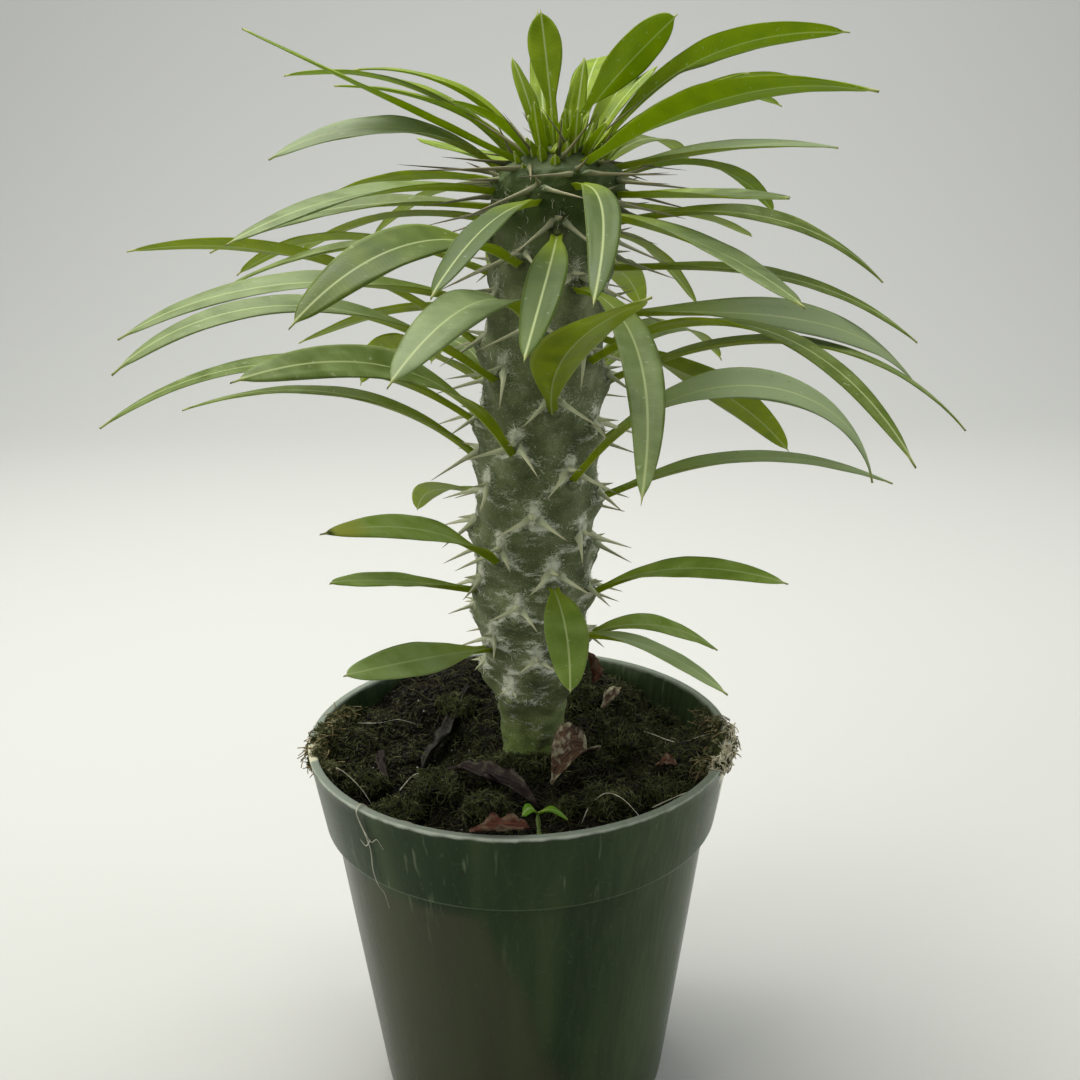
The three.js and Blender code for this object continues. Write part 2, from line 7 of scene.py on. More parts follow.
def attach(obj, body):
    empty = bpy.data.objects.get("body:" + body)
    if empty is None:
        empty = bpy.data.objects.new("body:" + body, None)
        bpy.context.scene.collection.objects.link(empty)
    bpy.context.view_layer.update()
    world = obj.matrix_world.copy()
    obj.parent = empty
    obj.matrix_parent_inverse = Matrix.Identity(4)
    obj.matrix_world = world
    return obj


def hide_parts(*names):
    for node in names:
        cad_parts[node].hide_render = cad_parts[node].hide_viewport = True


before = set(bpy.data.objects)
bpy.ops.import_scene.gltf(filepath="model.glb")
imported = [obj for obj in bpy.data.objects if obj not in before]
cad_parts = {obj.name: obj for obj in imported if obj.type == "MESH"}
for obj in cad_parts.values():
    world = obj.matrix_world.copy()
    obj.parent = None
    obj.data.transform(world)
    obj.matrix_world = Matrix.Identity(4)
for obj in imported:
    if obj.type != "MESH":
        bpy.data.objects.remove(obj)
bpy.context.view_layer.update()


# ---------------------------------------------------------------- pot
# A round nursery pot of dark green polypropylene, injection moulded in one piece. It has tapered
# sides, a deep flared rim band with a thin flat lip, and drain holes in its floor. Handling has
# scuffed it, and hard water has left the lip grey.

# sizes are in millimetres, and MM turns them into Blender's metres
MM = 0.001
POT_HEIGHT, POT_RIM, POT_FOOT, POT_WALL, POT_FLOOR = 105, 57, 40, 1.6, 3
BODY_TOP, BAND_FOOT, BAND_STEP, BAND_WALL, BAND_TURN = 54, 83.5, 2.2, 2.3, 3
DRAIN_HOLES, DRAIN_RADIUS, DRAIN_CIRCLE = 6, 4, 29
OUT_OF_ROUND = 0.12
POT_SIDES, DRILL_SIDES, DRILL_REACH = 160, 16, 5


def body_radius(z):
    """Outer radius of the tapered body."""
    return POT_FOOT + (BODY_TOP - POT_FOOT) * z / POT_HEIGHT


def band_radius(z):
    """Outer radius of the rim band, which widens towards the lip."""
    foot = body_radius(BAND_FOOT) + BAND_STEP
    return foot + (POT_RIM - foot) * (z - BAND_FOOT) / (POT_HEIGHT - BAND_FOOT)


def inner_radius(z):
    """Inner radius of the pot. The wall steps out behind the rim band."""
    behind = min(1, max(0, (z - BAND_FOOT) / BAND_TURN))
    return (1 - behind) * (body_radius(z) - POT_WALL) + behind * (band_radius(z) - BAND_WALL)


def new_object(name, data):
    """An object of a mesh, a lamp or a camera, linked into the scene."""
    thing = bpy.data.objects.new(name, data)
    bpy.context.scene.collection.objects.link(thing)
    return thing


def smooth_mesh(name, vertices, faces):
    """An object from points in millimetres and faces, shaded smooth."""
    mesh = bpy.data.meshes.new(name)
    mesh.from_pydata((np.asarray(vertices, float) * MM).tolist(), [], faces)
    mesh.polygons.foreach_set("use_smooth", [True] * len(mesh.polygons))
    mesh.update()
    return new_object(name, mesh)


def ring_faces(rows, count):
    """Quads between rows of points that each close in a ring."""
    faces = []
    for k in range(rows - 1):
        for j in range(count):
            a, b = k * count + j, k * count + (j + 1) % count
            faces.append((a, b, b + count, a + count))
    return faces


def linear(code):
    """An sRGB hex colour as Blender's linear colour."""
    parts = [int(code[i:i + 2], 16) / 255 for i in (1, 3, 5)]
    return (*[c / 12.92 if c <= 0.04045 else ((c + 0.055) / 1.055) ** 2.4 for c in parts], 1.0)


def add(tree, kind, inputs=(), **settings):
    """Adds a node with its settings and returns its outputs.

    Its inputs are values or sockets, by name or number, or in a row from the first one.
    """
    node = tree.nodes.new(kind)
    for name, value in settings.items():
        setattr(node, name, value)
    for key, value in inputs.items() if isinstance(inputs, dict) else enumerate(inputs):
        if isinstance(value, bpy.types.NodeSocket):
            tree.links.new(value, node.inputs[key])
        else:
            node.inputs[key].default_value = value
    return node.outputs


def new_material(name):
    """A material and its empty node tree."""
    material = bpy.data.materials.new(name)
    material.use_nodes = True
    material.node_tree.nodes.clear()
    return material, material.node_tree


def ramp(outputs, *stops):
    """Sets the stops of a Color Ramp, (place, colour), and returns its colour."""
    elements = outputs[0].node.color_ramp.elements
    while len(elements) < len(stops):
        elements.new(0.5)
    for element, (place, colour) in zip(elements, stops):
        element.position = place
        element.color = linear(colour)
    return outputs["Color"]


def coated(tree, colour, *coats):
    """Lays coats over a colour, the lowest first: (hex colour, factors of how much of it shows).

    A factor is a value or a socket, or a range: value, from, to, share at from, share at to.
    """
    for coat, *factors in coats:
        shares = [
            add(tree, "ShaderNodeMapRange", factor)[0] if isinstance(factor, tuple) else factor
            for factor in factors]
        share = shares[0]
        for other in shares[1:]:
            share = add(tree, "ShaderNodeMath", (share, other), operation="MULTIPLY")[0]
        colour = add(tree, "ShaderNodeMix", {0: share, 6: colour, 7: linear(coat)}, data_type="RGBA")[2]
    return colour


def pot_outline():
    """Radius and height along the pot's section, from the middle of its underside to that of its floor."""
    outline = [(0, 0), (POT_FOOT - 6, 0), (POT_FOOT - 1.5, 0), (POT_FOOT - 0.3, 0.5), (POT_FOOT + 0.1, 1.5)]
    outline += [(body_radius(z), z) for z in np.linspace(4, BAND_FOOT - 0.6, 16)]
    step = ((0, -0.2), (0.08, -0.04), (0.3, 0), (BAND_STEP - 0.3, 0.02), (BAND_STEP - 0.06, 0.1))
    outline += [(body_radius(BAND_FOOT) + out, BAND_FOOT + up) for out, up in step]
    outline += [(band_radius(z), z) for z in (BAND_FOOT + 0.35, BAND_FOOT + 0.7)]
    outline += [(band_radius(z), z) for z in np.linspace(BAND_FOOT + 2, POT_HEIGHT - 0.8, 9)]
    lip = [(0, 0.5), (0.15, 0.15), (0.5, 0), (0.8, 0)]
    inside = inner_radius(POT_HEIGHT)
    outline += [(POT_RIM - across, POT_HEIGHT - down) for across, down in lip]
    outline += [(inside + across, POT_HEIGHT - down) for across, down in reversed(lip)]
    outline += [(inner_radius(z), z) for z in np.linspace(POT_HEIGHT - 0.8, BAND_FOOT + BAND_TURN, 6)]
    outline += [(inner_radius(z), z) for z in np.linspace(BAND_FOOT, POT_FLOOR + 1, 10)]
    return outline + [(inner_radius(POT_FLOOR) - 1, POT_FLOOR), (0, POT_FLOOR)]


def make_pot():
    """The turned shell, and the drills that its drain holes are cut with."""
    outline = pot_outline()
    points = []
    for radius, z in outline[1:-1]:
        for j in range(POT_SIDES):
            turn = 2 * math.pi * j / POT_SIDES
            bent = OUT_OF_ROUND * (z / POT_HEIGHT) ** 3 * math.sin(3 * turn + 1) * (radius > DRAIN_CIRCLE)
            points.append(((radius + bent) * math.cos(turn), (radius + bent) * math.sin(turn), z))
    rows = len(outline) - 2
    faces = ring_faces(rows, POT_SIDES)
    low, high, last = len(points), len(points) + 1, (rows - 1) * POT_SIDES
    points += [(0, 0, 0), (0, 0, POT_FLOOR)]
    for j in range(POT_SIDES):
        following = (j + 1) % POT_SIDES
        faces += [(following, j, low), (last + j, last + following, high)]
    shell = smooth_mesh("pot_shell", points, faces)
    holes, hole_faces = [], []
    for i in range(DRAIN_HOLES):
        turn = (i + 0.5) / DRAIN_HOLES * 2 * math.pi
        first = len(holes)
        for z in (-DRILL_REACH, POT_FLOOR + DRILL_REACH):
            for j in range(DRILL_SIDES):
                angle = 2 * math.pi * j / DRILL_SIDES
                holes.append((DRAIN_CIRCLE * math.cos(turn) + DRAIN_RADIUS * math.cos(angle),
                              DRAIN_CIRCLE * math.sin(turn) + DRAIN_RADIUS * math.sin(angle), z))
        hole_faces += [tuple(first + n for n in face) for face in ring_faces(2, DRILL_SIDES)]
        hole_faces.append(tuple(first + j for j in reversed(range(DRILL_SIDES))))
        hole_faces.append(tuple(first + DRILL_SIDES + j for j in range(DRILL_SIDES)))
    drills = smooth_mesh("drills", holes, hole_faces)
    cut = shell.modifiers.new("drain holes", "BOOLEAN")
    cut.object, cut.operation, cut.solver = drills, "DIFFERENCE", "EXACT"
    return shell, drills


def settle(things):
    """Turns what each object's modifiers make into its plain mesh."""
    depsgraph = bpy.context.evaluated_depsgraph_get()
    made = [
        bpy.data.meshes.new_from_object(
            thing.evaluated_get(depsgraph), preserve_all_data_layers=True, depsgraph=depsgraph)
        for thing in things]
    for thing, mesh in zip(things, made):
        thing.modifiers.clear()
        thing.data = mesh


def place(piece, slot, *nodes):
    """Attaches a finished piece to the root and hides the CAD nodes that it stands for; slot is not used."""
    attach(piece, "root")
    if nodes:
        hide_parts(*nodes)


# Injection-moulded polypropylene: satin gloss, soft upright flow marks of olive and green, pale scratches,
# dust, a brownish painted reflection on the left, pale painted reflections in upright streaks on the right,
# painted shade under the band, and a lip rubbed and limed to a pale grey green, with a painted highlight on
# its edge.
pot_plastic, tree = new_material("moulded polypropylene")
where = add(tree, "ShaderNodeTexCoord")["Object"]
to_right, to_back, height = add(tree, "ShaderNodeSeparateXYZ", (where,))
cloud, dust_grain, lime_edge = [
    add(tree, "ShaderNodeTexNoise", {"Vector": where, "Scale": scale, "Detail": detail})["Fac"]
    for scale, detail in ((45.0, 4.0), (900.0, 3.0), (260.0, 5.0))]
# upright marks: the pull of the mould, the flow of the melt, painted reflections in streaks, and runs of hard
# water
marks = []
for around, upright, detail in ((700, 12, 3.0), (75, 4, 2.0), (800, 6, 3.0), (420, 9, 2.0)):
    drawn_out = add(tree, "ShaderNodeMapping", {"Vector": where, "Scale": (around, around, upright)})[0]
    marks.append(add(tree, "ShaderNodeTexNoise", {
        "Vector": drawn_out, "Scale": 1.0, "Detail": detail})["Fac"])
drag_lines, flow, reflection_streaks, runs = marks
plastic = ramp(
    add(tree, "ShaderNodeValToRGB", (flow,)), (0.35, "#1b2a18"), (0.5, "#23321d"), (0.68, "#323f25"))
scratch = add(tree, "ShaderNodeMapping", {
    "Vector": where, "Rotation": (0.3, 0.2, 0.5), "Scale": (260, 260, 30)})[0]
scratch = add(tree, "ShaderNodeTexVoronoi", {
    "Vector": scratch, "Scale": 1.0}, feature="DISTANCE_TO_EDGE")["Distance"]
lime = add(tree, "ShaderNodeMath", (lime_edge, 0.0012, height), operation="MULTIPLY_ADD")[0]
lime = add(tree, "ShaderNodeMapRange", (lime, 0.1046, 0.1053, 0.0, 0.85))[0]
from_axis = add(tree, "ShaderNodeVectorMath", (where, (1, 1, 0)), operation="MULTIPLY")[0]
from_axis = add(tree, "ShaderNodeVectorMath", (from_axis,), operation="LENGTH")["Value"]
# a brownish patch of painted reflection, low on the left of the body
reflection_patch = add(tree, "ShaderNodeMath", (height, 0.35, to_right), operation="MULTIPLY_ADD")[0]
reflection_patch = add(tree, "ShaderNodeMath", (cloud, 0.012, reflection_patch), operation="MULTIPLY_ADD")[0]
# the foot of the band, and below it a dark painted shadow
band_edge = add(tree, "ShaderNodeMath", (height, 0.0838, 0.0003), operation="COMPARE")[0]
below_band = add(tree, "ShaderNodeMath", (height, 0.0835), operation="LESS_THAN")[0]
near_moss = [
    add(tree, "ShaderNodeVectorMath", (where, spot), operation="DISTANCE")["Value"]
    for spot in ((0.054, -0.018, 0.104), (-0.056, -0.010, 0.103))]
crust = add(tree, "ShaderNodeMath", near_moss, operation="MINIMUM")[0]
crust = add(tree, "ShaderNodeMath", (lime_edge, -0.022, crust), operation="MULTIPLY_ADD")[0]
plastic = coated(
    tree, plastic,
    # dust, scratches and the lime on the lip
    ("#565d47", (dust_grain, 0.62, 0.75, 0.0, 0.25)),
    ("#4b573f", (scratch, 0.0, 0.012, 0.4, 0.0), cloud),
    ("#7c847a", lime),
    # a pale line on the lip's outer edge is partly wear from handling and partly a painted highlight
    ("#c3c9bb", (from_axis, 0.0565, 0.0569, 0.0, 0.8), lime_edge, lime),
    # a brownish painted reflection covers the left of the body
    ("#3d3d2d", (reflection_patch, 0.027, 0.021, 0.0, 0.6), (height, 0.0815, 0.078), (to_back, 0.03, -0.01)),
    # the foot of the band has a pale line along its edge, partly wear and partly a painted highlight, and a
    # painted shadow lies under it
    ("#4b5843", band_edge, lime_edge),
    ("#12160e", (height, 0.0822, 0.0834, 0.0, 0.6), below_band),
    # pale upright streaks on the right are painted reflections
    ("#4a573c", (reflection_streaks, 0.4, 0.75, 0.2, 0.5), (to_right, 0.004, 0.03)),
    # hard water has dried to a crust where moss hangs over the lip, and has run down from it
    ("#c2bfa4", (crust, -0.003, -0.006, 0.0, 0.85)),
    ("#737c62", (runs, 0.66, 0.74, 0.0, 0.45), (height, 0.060, 0.104)))
gloss = add(tree, "ShaderNodeMapRange", (flow, 0.3, 0.7, 0.22, 0.34))[0]
gloss = add(tree, "ShaderNodeMath", (lime, 0.3, gloss), operation="MULTIPLY_ADD")[0]
relief = add(tree, "ShaderNodeBump", {"Strength": 0.12, "Distance": 0.0004, "Height": drag_lines})[0]
shader = add(tree, "ShaderNodeBsdfPrincipled", {
    "Base Color": plastic, "Roughness": gloss, "Normal": relief, "IOR": 1.49, "Specular IOR Level": 0.11})
add(tree, "ShaderNodeOutputMaterial", {"Surface": shader[0]})

pot, drills = make_pot()
settle([pot])
bpy.data.objects.remove(drills)
pot.name = "nursery_pot"
pot.data.materials.clear()
pot.data.materials.append(pot_plastic)
place(pot, "pot_plastic", "pot")


# ---------------------------------------------------------------- soil
# Dark fibrous peat that has settled in mounds and hollows. Moss has grown over it behind the stem,
# along the rim and over a few clods, and bits of perlite and old root fibre lie in it.

SOIL_LEVEL = 97
# Mounds of moss and clods: x, y, radius, height. A hollow has a negative height.
MOUNDS = [
    (-6, 47, 30, 10), (-30, 38, 16, 3), (26, 38, 13, 5), (44, 26, 11, -4), (-52, 4, 16, 8), (52, -6, 16, 8),
    (0, -46, 22, -1), (3, -5, 9, 4), (-21, -21, 8, 4), (-9, -32, 8, 3), (21, -30, 8, 3), (26, 14, 12, 3),
    (-24, 8, 13, -3),
]
# Mossy stretches: share, x, y, reach along x and along y. Then the middles of small tufts.
MOSSY_STRETCHES = [
    (0.8, 28, 20, 30, 32), (0.9, 50, -2, 12, 20), (0.45, -22, 6, 26, 24), (0.8, -52, 4, 10, 22),
]
TUFTS = [(-21, -21), (-9, -33), (21, -30), (3, -8), (-8, -6)]
TUFT_SHARE, TUFT_SPREAD = 0.75, 50
LUMP_SIZE, LUMP_RISE, LUMP_LEVEL, CRACK_SIZE, CRACK_RISE = 7, 2.6, 0.7, 2.5, 0.5
SOIL_RINGS, SOIL_SIDES = 110, 260
# the soil's edge has the height that is read at EDGE_AT, and small gaps keep it off the wall
EDGE_AT, EDGE_GAP, WALL_GAP = 53, 0.2, 0.3


def soil_height(x, y):
    """How high the soil stands at a place, in millimetres, before it is crumbled."""
    height = SOIL_LEVEL - 1 + math.sin(x / 4.3 + 1) * math.sin(y / 3.9)
    for mound_x, mound_y, radius, rise in MOUNDS:
        height += rise * math.exp(-((x - mound_x) ** 2 + (y - mound_y) ** 2) / radius ** 2)
    return height


def moss_cover(x, y):
    """How mossy the soil is at a place, from 0 to 1."""
    cover = 0.0
    for share, middle_x, middle_y, reach_x, reach_y in MOSSY_STRETCHES:
        cover += share * math.exp(-(((x - middle_x) / reach_x) ** 2 + ((y - middle_y) / reach_y) ** 2))
    for tuft_x, tuft_y in TUFTS:
        cover += TUFT_SHARE * math.exp(-((x - tuft_x) ** 2 + (y - tuft_y) ** 2) / TUFT_SPREAD)
    return min(1.0, cover)


def crumbled(x, y):
    """Lumps of peat on the soil, in millimetres."""
    spot = Vector((x / LUMP_SIZE, y / LUMP_SIZE, 2))
    lumps = noise.turbulence(spot, 4, False, noise_basis="PERLIN_ORIGINAL")
    cracks = noise.cell_vector(Vector((x / CRACK_SIZE, y / CRACK_SIZE, 0)))[0]
    return LUMP_RISE * (lumps - LUMP_LEVEL) + CRACK_RISE * cracks


def set_attribute(mesh, name, kind, values):
    """Stores a value or a vector for each of a mesh's points."""
    attribute = mesh.attributes.new(name, kind, "POINT")
    field = "vector" if kind == "FLOAT_VECTOR" else "value"
    attribute.data.foreach_set(field, np.asarray(values, float).ravel())


ground_points = []
for k in range(SOIL_RINGS):
    share = math.sqrt(1 - k / SOIL_RINGS)
    for j in range(SOIL_SIDES):
        turn = 2 * math.pi * j / SOIL_SIDES
        edge = inner_radius(soil_height(EDGE_AT * math.sin(turn), -EDGE_AT * math.cos(turn))) - EDGE_GAP
        x, y = edge * share * math.sin(turn), -edge * share * math.cos(turn)
        # the lumps are lower within a twentieth of the radius from the wall
        off_wall = min(1.0, (1 - share) * 20)
        ground_points.append((x, y, soil_height(x, y) + crumbled(x, y) * (0.4 + 0.6 * off_wall)))
ground_faces = ring_faces(SOIL_RINGS, SOIL_SIDES)
last = (SOIL_RINGS - 1) * SOIL_SIDES
ground_faces += [(last + j, last + (j + 1) % SOIL_SIDES, last + SOIL_SIDES) for j in range(SOIL_SIDES)]
ground_points.append((0, 0, soil_height(0, 0)))
moss = [moss_cover(x, y) for x, y, _ in ground_points]
ground = smooth_mesh("ground", ground_points, ground_faces)
set_attribute(ground.data, "moss", "FLOAT", moss)
# the body of the soil goes down from the ground's edge along the pot's wall to its floor
soil_points, soil_faces = list(ground_points), list(ground_faces)
above = 0
for level in (BAND_FOOT + BAND_TURN, BAND_FOOT, POT_FLOOR + WALL_GAP):
    foot = len(soil_points)
    for j in range(SOIL_SIDES):
        turn, wall = 2 * math.pi * j / SOIL_SIDES, inner_radius(level) - WALL_GAP
        soil_points.append((wall * math.sin(turn), -wall * math.cos(turn), level))
        following = (j + 1) % SOIL_SIDES
        soil_faces.append((foot + j, foot + following, above + following, above + j))
    above = foot
soil_faces.append(tuple(foot + j for j in reversed(range(SOIL_SIDES))))
soil = smooth_mesh("peat_soil", soil_points, soil_faces)
set_attribute(soil.data, "moss", "FLOAT", moss + [0.0] * 3 * SOIL_SIDES)

# Peat: nearly black when damp, with brown fibres and olive moss. Matt all over.
peat, tree = new_material("damp peat")
where = add(tree, "ShaderNodeTexCoord")["Object"]
mossy = add(tree, "ShaderNodeAttribute", attribute_name="moss")["Fac"]
grain, patch = [
    add(tree, "ShaderNodeTexNoise", {"Vector": where, "Scale": scale, "Detail": detail})["Fac"]
    for scale, detail in ((700.0, 6.0), (110.0, 4.0))]
brown, olive = [
    ramp(add(tree, "ShaderNodeValToRGB", (grain,)), *stops) for stops in (
        ((0.3, "#070705"), (0.55, "#14130e"), (0.8, "#353226")),
        ((0.3, "#12160a"), (0.6, "#363d1d"), (0.85, "#676d45")))]
growth = add(tree, "ShaderNodeMath", (patch, 1.4, -0.95), operation="MULTIPLY_ADD")[0]
growth = add(tree, "ShaderNodeMath", (mossy, growth), operation="ADD")[0]
growth = add(tree, "ShaderNodeMapRange", (growth, 0.15, 0.6, 0.0, 0.9))[0]
earth = add(tree, "ShaderNodeMix", {0: growth, 6: brown, 7: olive}, data_type="RGBA")[2]
relief = add(tree, "ShaderNodeBump", {"Strength": 0.9, "Distance": 0.0008, "Height": grain})[0]
shader = add(tree, "ShaderNodeBsdfPrincipled", {
    "Base Color": earth, "Roughness": 0.95, "Normal": relief, "Specular IOR Level": 0.08})
add(tree, "ShaderNodeOutputMaterial", {"Surface": shader[0]})
soil.data.materials.append(peat)


def new_tree(name, inputs):
    """A Geometry Nodes tree with named inputs: (name, kind, value)."""
    tree = bpy.data.node_groups.new(name, "GeometryNodeTree")
    tree.interface.new_socket("Geometry", in_out="OUTPUT", socket_type="NodeSocketGeometry")
    tree.interface.new_socket("Geometry", in_out="INPUT", socket_type="NodeSocketGeometry")
    for label, kind, value in inputs:
        socket = tree.interface.new_socket(label, in_out="INPUT", socket_type="NodeSocket" + kind)
        if value is not None:
            socket.default_value = value
    return tree, add(tree, "NodeGroupInput")


def grow(thing, tree, **values):
    """Gives an object a Geometry Nodes modifier with these inputs. In a name, _ stands for a space."""
    modifier = thing.modifiers.new(tree.name, "NODES")
    modifier.node_group = tree
    for label, value in values.items():
        modifier[tree.interface.items_tree[label.replace("_", " ")].identifier] = value


def finish_tree(tree, geometry, material):
    """Ends a tree in Realize Instances and Set Material, and returns it."""
    real = add(tree, "GeometryNodeRealizeInstances", (geometry,))[0]
    real = add(tree, "GeometryNodeSetMaterial", {0: real, "Material": material})[0]
    add(tree, "NodeGroupOutput", (real,))
    return tree


def scattered(tree, given):
    """Points on a surface, more of them where it is mossy, and at least the share Everywhere."""
    cover = add(tree, "GeometryNodeInputNamedAttribute", ("moss",), data_type="FLOAT")[0]
    cover = add(tree, "ShaderNodeMath", (cover, given["Everywhere"]), operation="MAXIMUM")[0]
    spots = add(tree, "GeometryNodeDistributePointsOnFaces", {
        0: given["Geometry"], "Density": given["Density"], "Seed": given["Seed"]})["Points"]
    keep = add(tree, "FunctionNodeRandomValue", {"Seed": given["Seed"]}, data_type="FLOAT")[1]
    spare = add(tree, "FunctionNodeCompare", (keep, cover), operation="GREATER_THAN")[0]
    return add(tree, "GeometryNodeDeleteGeometry", (spots, spare))[0]


# Rough grains scattered over a surface.
tree, given = new_tree("scattered grains", [
    ("Density", "Float", 1e5), ("Size", "Float", 0.001), ("Seed", "Int", 1),
    ("Everywhere", "Float", 0.0), ("Material", "Material", None)])
spots = scattered(tree, given)
grain_shape = add(tree, "GeometryNodeMeshIcoSphere", {"Radius": 0.5, "Subdivisions": 1})[0]
spin, swell = [
    add(tree, "FunctionNodeRandomValue", {0: low, 1: high, "Seed": seed}, data_type="FLOAT_VECTOR")[0]
    for low, high, seed in (((0.0, 0.0, 0.0), (6.3, 6.3, 6.3), 3), ((0.35, 0.35, 0.25), (1.2, 1.2, 1.0), 4))]
size = add(tree, "ShaderNodeVectorMath", {0: swell, "Scale": given["Size"]}, operation="SCALE")[0]
grains = add(tree, "GeometryNodeInstanceOnPoints", {
    0: spots, "Instance": grain_shape, "Rotation": spin, "Scale": size})[0]
crumb_tree = finish_tree(tree, grains, given["Material"])

# Curved strands scattered over a surface. They lie flat where Tilt is small and stand up where it is large.
tree, given = new_tree("scattered strands", [
    ("Density", "Float", 1e5), ("Length", "Float", 0.006), ("Thickness", "Float", 0.0002),
    ("Tilt", "Float", 0.5), ("Seed", "Int", 1), ("Everywhere", "Float", 0.0), ("Material", "Material", None)])
spots = scattered(tree, given)
arc = add(tree, "GeometryNodeCurveQuadraticBezier", {
    "Resolution": 4, "Start": (-0.5, 0, -0.04), "Middle": (0, 0.35, 0.28), "End": (0.5, 0, -0.04)})[0]
half_thick = add(tree, "ShaderNodeMath", {
    0: given["Thickness"], 1: given["Length"]}, operation="DIVIDE")[0]
round_profile = add(tree, "GeometryNodeCurvePrimitiveCircle", {
    "Resolution": 3, "Radius": half_thick})[0]
strand = add(tree, "GeometryNodeCurveToMesh", {0: arc, 1: round_profile, "Fill Caps": True})[0]
lean = add(tree, "ShaderNodeMath", {0: given["Tilt"], 1: -1.0}, operation="MULTIPLY")[0]
low = add(tree, "ShaderNodeCombineXYZ", (lean, lean, 0.0))[0]
high = add(tree, "ShaderNodeCombineXYZ", {0: given["Tilt"], 1: given["Tilt"], 2: 6.3})[0]
spin = add(tree, "FunctionNodeRandomValue", {
    0: low, 1: high, "Seed": 5}, data_type="FLOAT_VECTOR")[0]
some = add(tree, "FunctionNodeRandomValue", {2: 0.4, 3: 1.3, "Seed": 6}, data_type="FLOAT")[1]
size = add(tree, "ShaderNodeMath", (some, given["Length"]), operation="MULTIPLY")[0]
strands = add(tree, "GeometryNodeInstanceOnPoints", {
    0: spots, "Instance": strand, "Rotation": spin, "Scale": size})[0]
strand_tree = finish_tree(tree, strands, given["Material"])


def plain_material(name, stops, scale, roughness, translucency=0.0):
    """A matt natural finish whose colour wanders between the stops, with features of 1 / scale metres."""
    material, tree = new_material(name)
    where = add(tree, "ShaderNodeTexCoord")["Object"]
    wander = add(tree, "ShaderNodeTexNoise", {"Vector": where, "Scale": scale, "Detail": 5.0})["Fac"]
    colour = ramp(add(tree, "ShaderNodeValToRGB", (wander,)), *stops)
    relief = add(tree, "ShaderNodeBump", {"Strength": 0.5, "Distance": 0.0003, "Height": wander})[0]
    shader = add(tree, "ShaderNodeBsdfPrincipled", {
        "Base Color": colour, "Roughness": roughness, "Normal": relief, "Specular IOR Level": 0.12})[0]
    if translucency:
        through = add(tree, "ShaderNodeBsdfTranslucent", {"Color": colour})[0]
        shader = add(tree, "ShaderNodeMixShader", (translucency, shader, through))[0]
    add(tree, "ShaderNodeOutputMaterial", {"Surface": shader})
    return material


# Bits of the soil: peat crumbs, expanded perlite, living moss and dry moss fibre.
crumb_peat = plain_material("peat crumbs", [(0.3, "#080806"), (0.6, "#1b1913"), (0.8, "#3e3a2e")], 400, 0.5)
perlite = plain_material("expanded perlite", [(0.3, "#6c6e66"), (0.7, "#a5a79c")], 900, 0.9)
moss_green = plain_material(
    "living moss", [(0.3, "#282c18"), (0.6, "#545a37"), (0.8, "#979a73")], 300, 0.7, 0.2)
moss_brown = plain_material(
    "dry moss fibre", [(0.3, "#1d1c13"), (0.6, "#3a3823"), (0.8, "#6a6648")], 300, 0.9)

# specks of perlite lie where the last watering washed them together, and a few lie everywhere
WASHED_X, WASHED_Y, WASHED_SPREAD, FEW = -27, 8, 110, 0.06
grit = [
    math.exp(-((x - WASHED_X) ** 2 + (y - WASHED_Y) ** 2) / WASHED_SPREAD) + FEW for x, y, _ in ground_points]

dressing = []
for name, tree, values in (
        ("peat_crumbs", crumb_tree, dict(
            Density=6e5, Size=0.0016, Seed=11, Everywhere=1.0, Material=crumb_peat)),
        ("perlite_specks", crumb_tree, dict(Density=1.3e5, Size=0.0009, Seed=12, Material=perlite)),
        ("moss_strands", strand_tree, dict(
            Density=1.1e6, Length=0.0038, Thickness=0.00012, Tilt=0.9, Seed=13, Material=moss_green)),
        ("peat_fibres", strand_tree, dict(
            Density=2.2e5, Length=0.006, Thickness=0.00012, Tilt=0.7, Seed=14, Everywhere=1.0,
            Material=moss_brown))):
    layer = new_object(name, ground.data.copy())
    if values["Material"] == perlite:
        layer.data.attributes["moss"].data.foreach_set("value", grit)
    grow(layer, tree, **values)
    dressing.append(layer)
settle(dressing)
bpy.data.objects.remove(ground)
place(soil, "soil", "soil")
for layer in dressing:
    place(layer, "soil")


# ---------------------------------------------------------------- stem
# A swollen, water-storing stem. Each leaf that fell left a round scar on a low bump, and above it a
# pair of spines stands on a ridge of pale silver felt. The bumps follow one spiral up the stem.

STEM_FOOT = Vector((3.4, 2, SOIL_LEVEL))
STEM_LEAN, STEM_TOP, TIP_HEIGHT, STEM_ROOT = 8, 150, 160, -18
# by height: the stem's radius without its bumps
STEM_RADII = [
    (-18, 7.5), (4, 7.9), (16, 9.4), (23, 11), (30, 12.5), (45, 14.6), (79, 15), (97, 15), (130, 14),
    (149, 13.2), (154, 11), (158, 7), (160, 0.5),
]
GOLDEN_ANGLE, FIRST_BUMP_TURN, BUMPS = 137.508, -28, 88
# by bump: its height
BUMP_HEIGHTS = [(0, 20), (26, 68), (50, 122.5)]
LAST_EVEN, CROWD_SPAN, CROWD_BUMPS = 50, 36, 16
BUMP_RISE, BUMP_LIMIT, BUMP_HALF_WIDTH, BUMP_BELOW, BUMP_ABOVE = 2.8, 3.8, 3.8, 4.2, 2.6
STEM_ROWS, TIP_ROWS, STEM_SIDES, TIP_TAPER = 330, 40, 200, 6


def reading(pairs, at):
    """Straight-line reading of a list of (place, value) pairs."""
    return np.interp(at, [p for p, _ in pairs], [v for _, v in pairs])


def bump_height(i):
    """How high a bump stands on the stem. The ones after LAST_EVEN crowd towards the tip."""
    height = float(reading(BUMP_HEIGHTS, i))
    if i <= LAST_EVEN:
        return height
    return height + CROWD_SPAN * (1 - math.exp((LAST_EVEN - i) / CROWD_BUMPS))


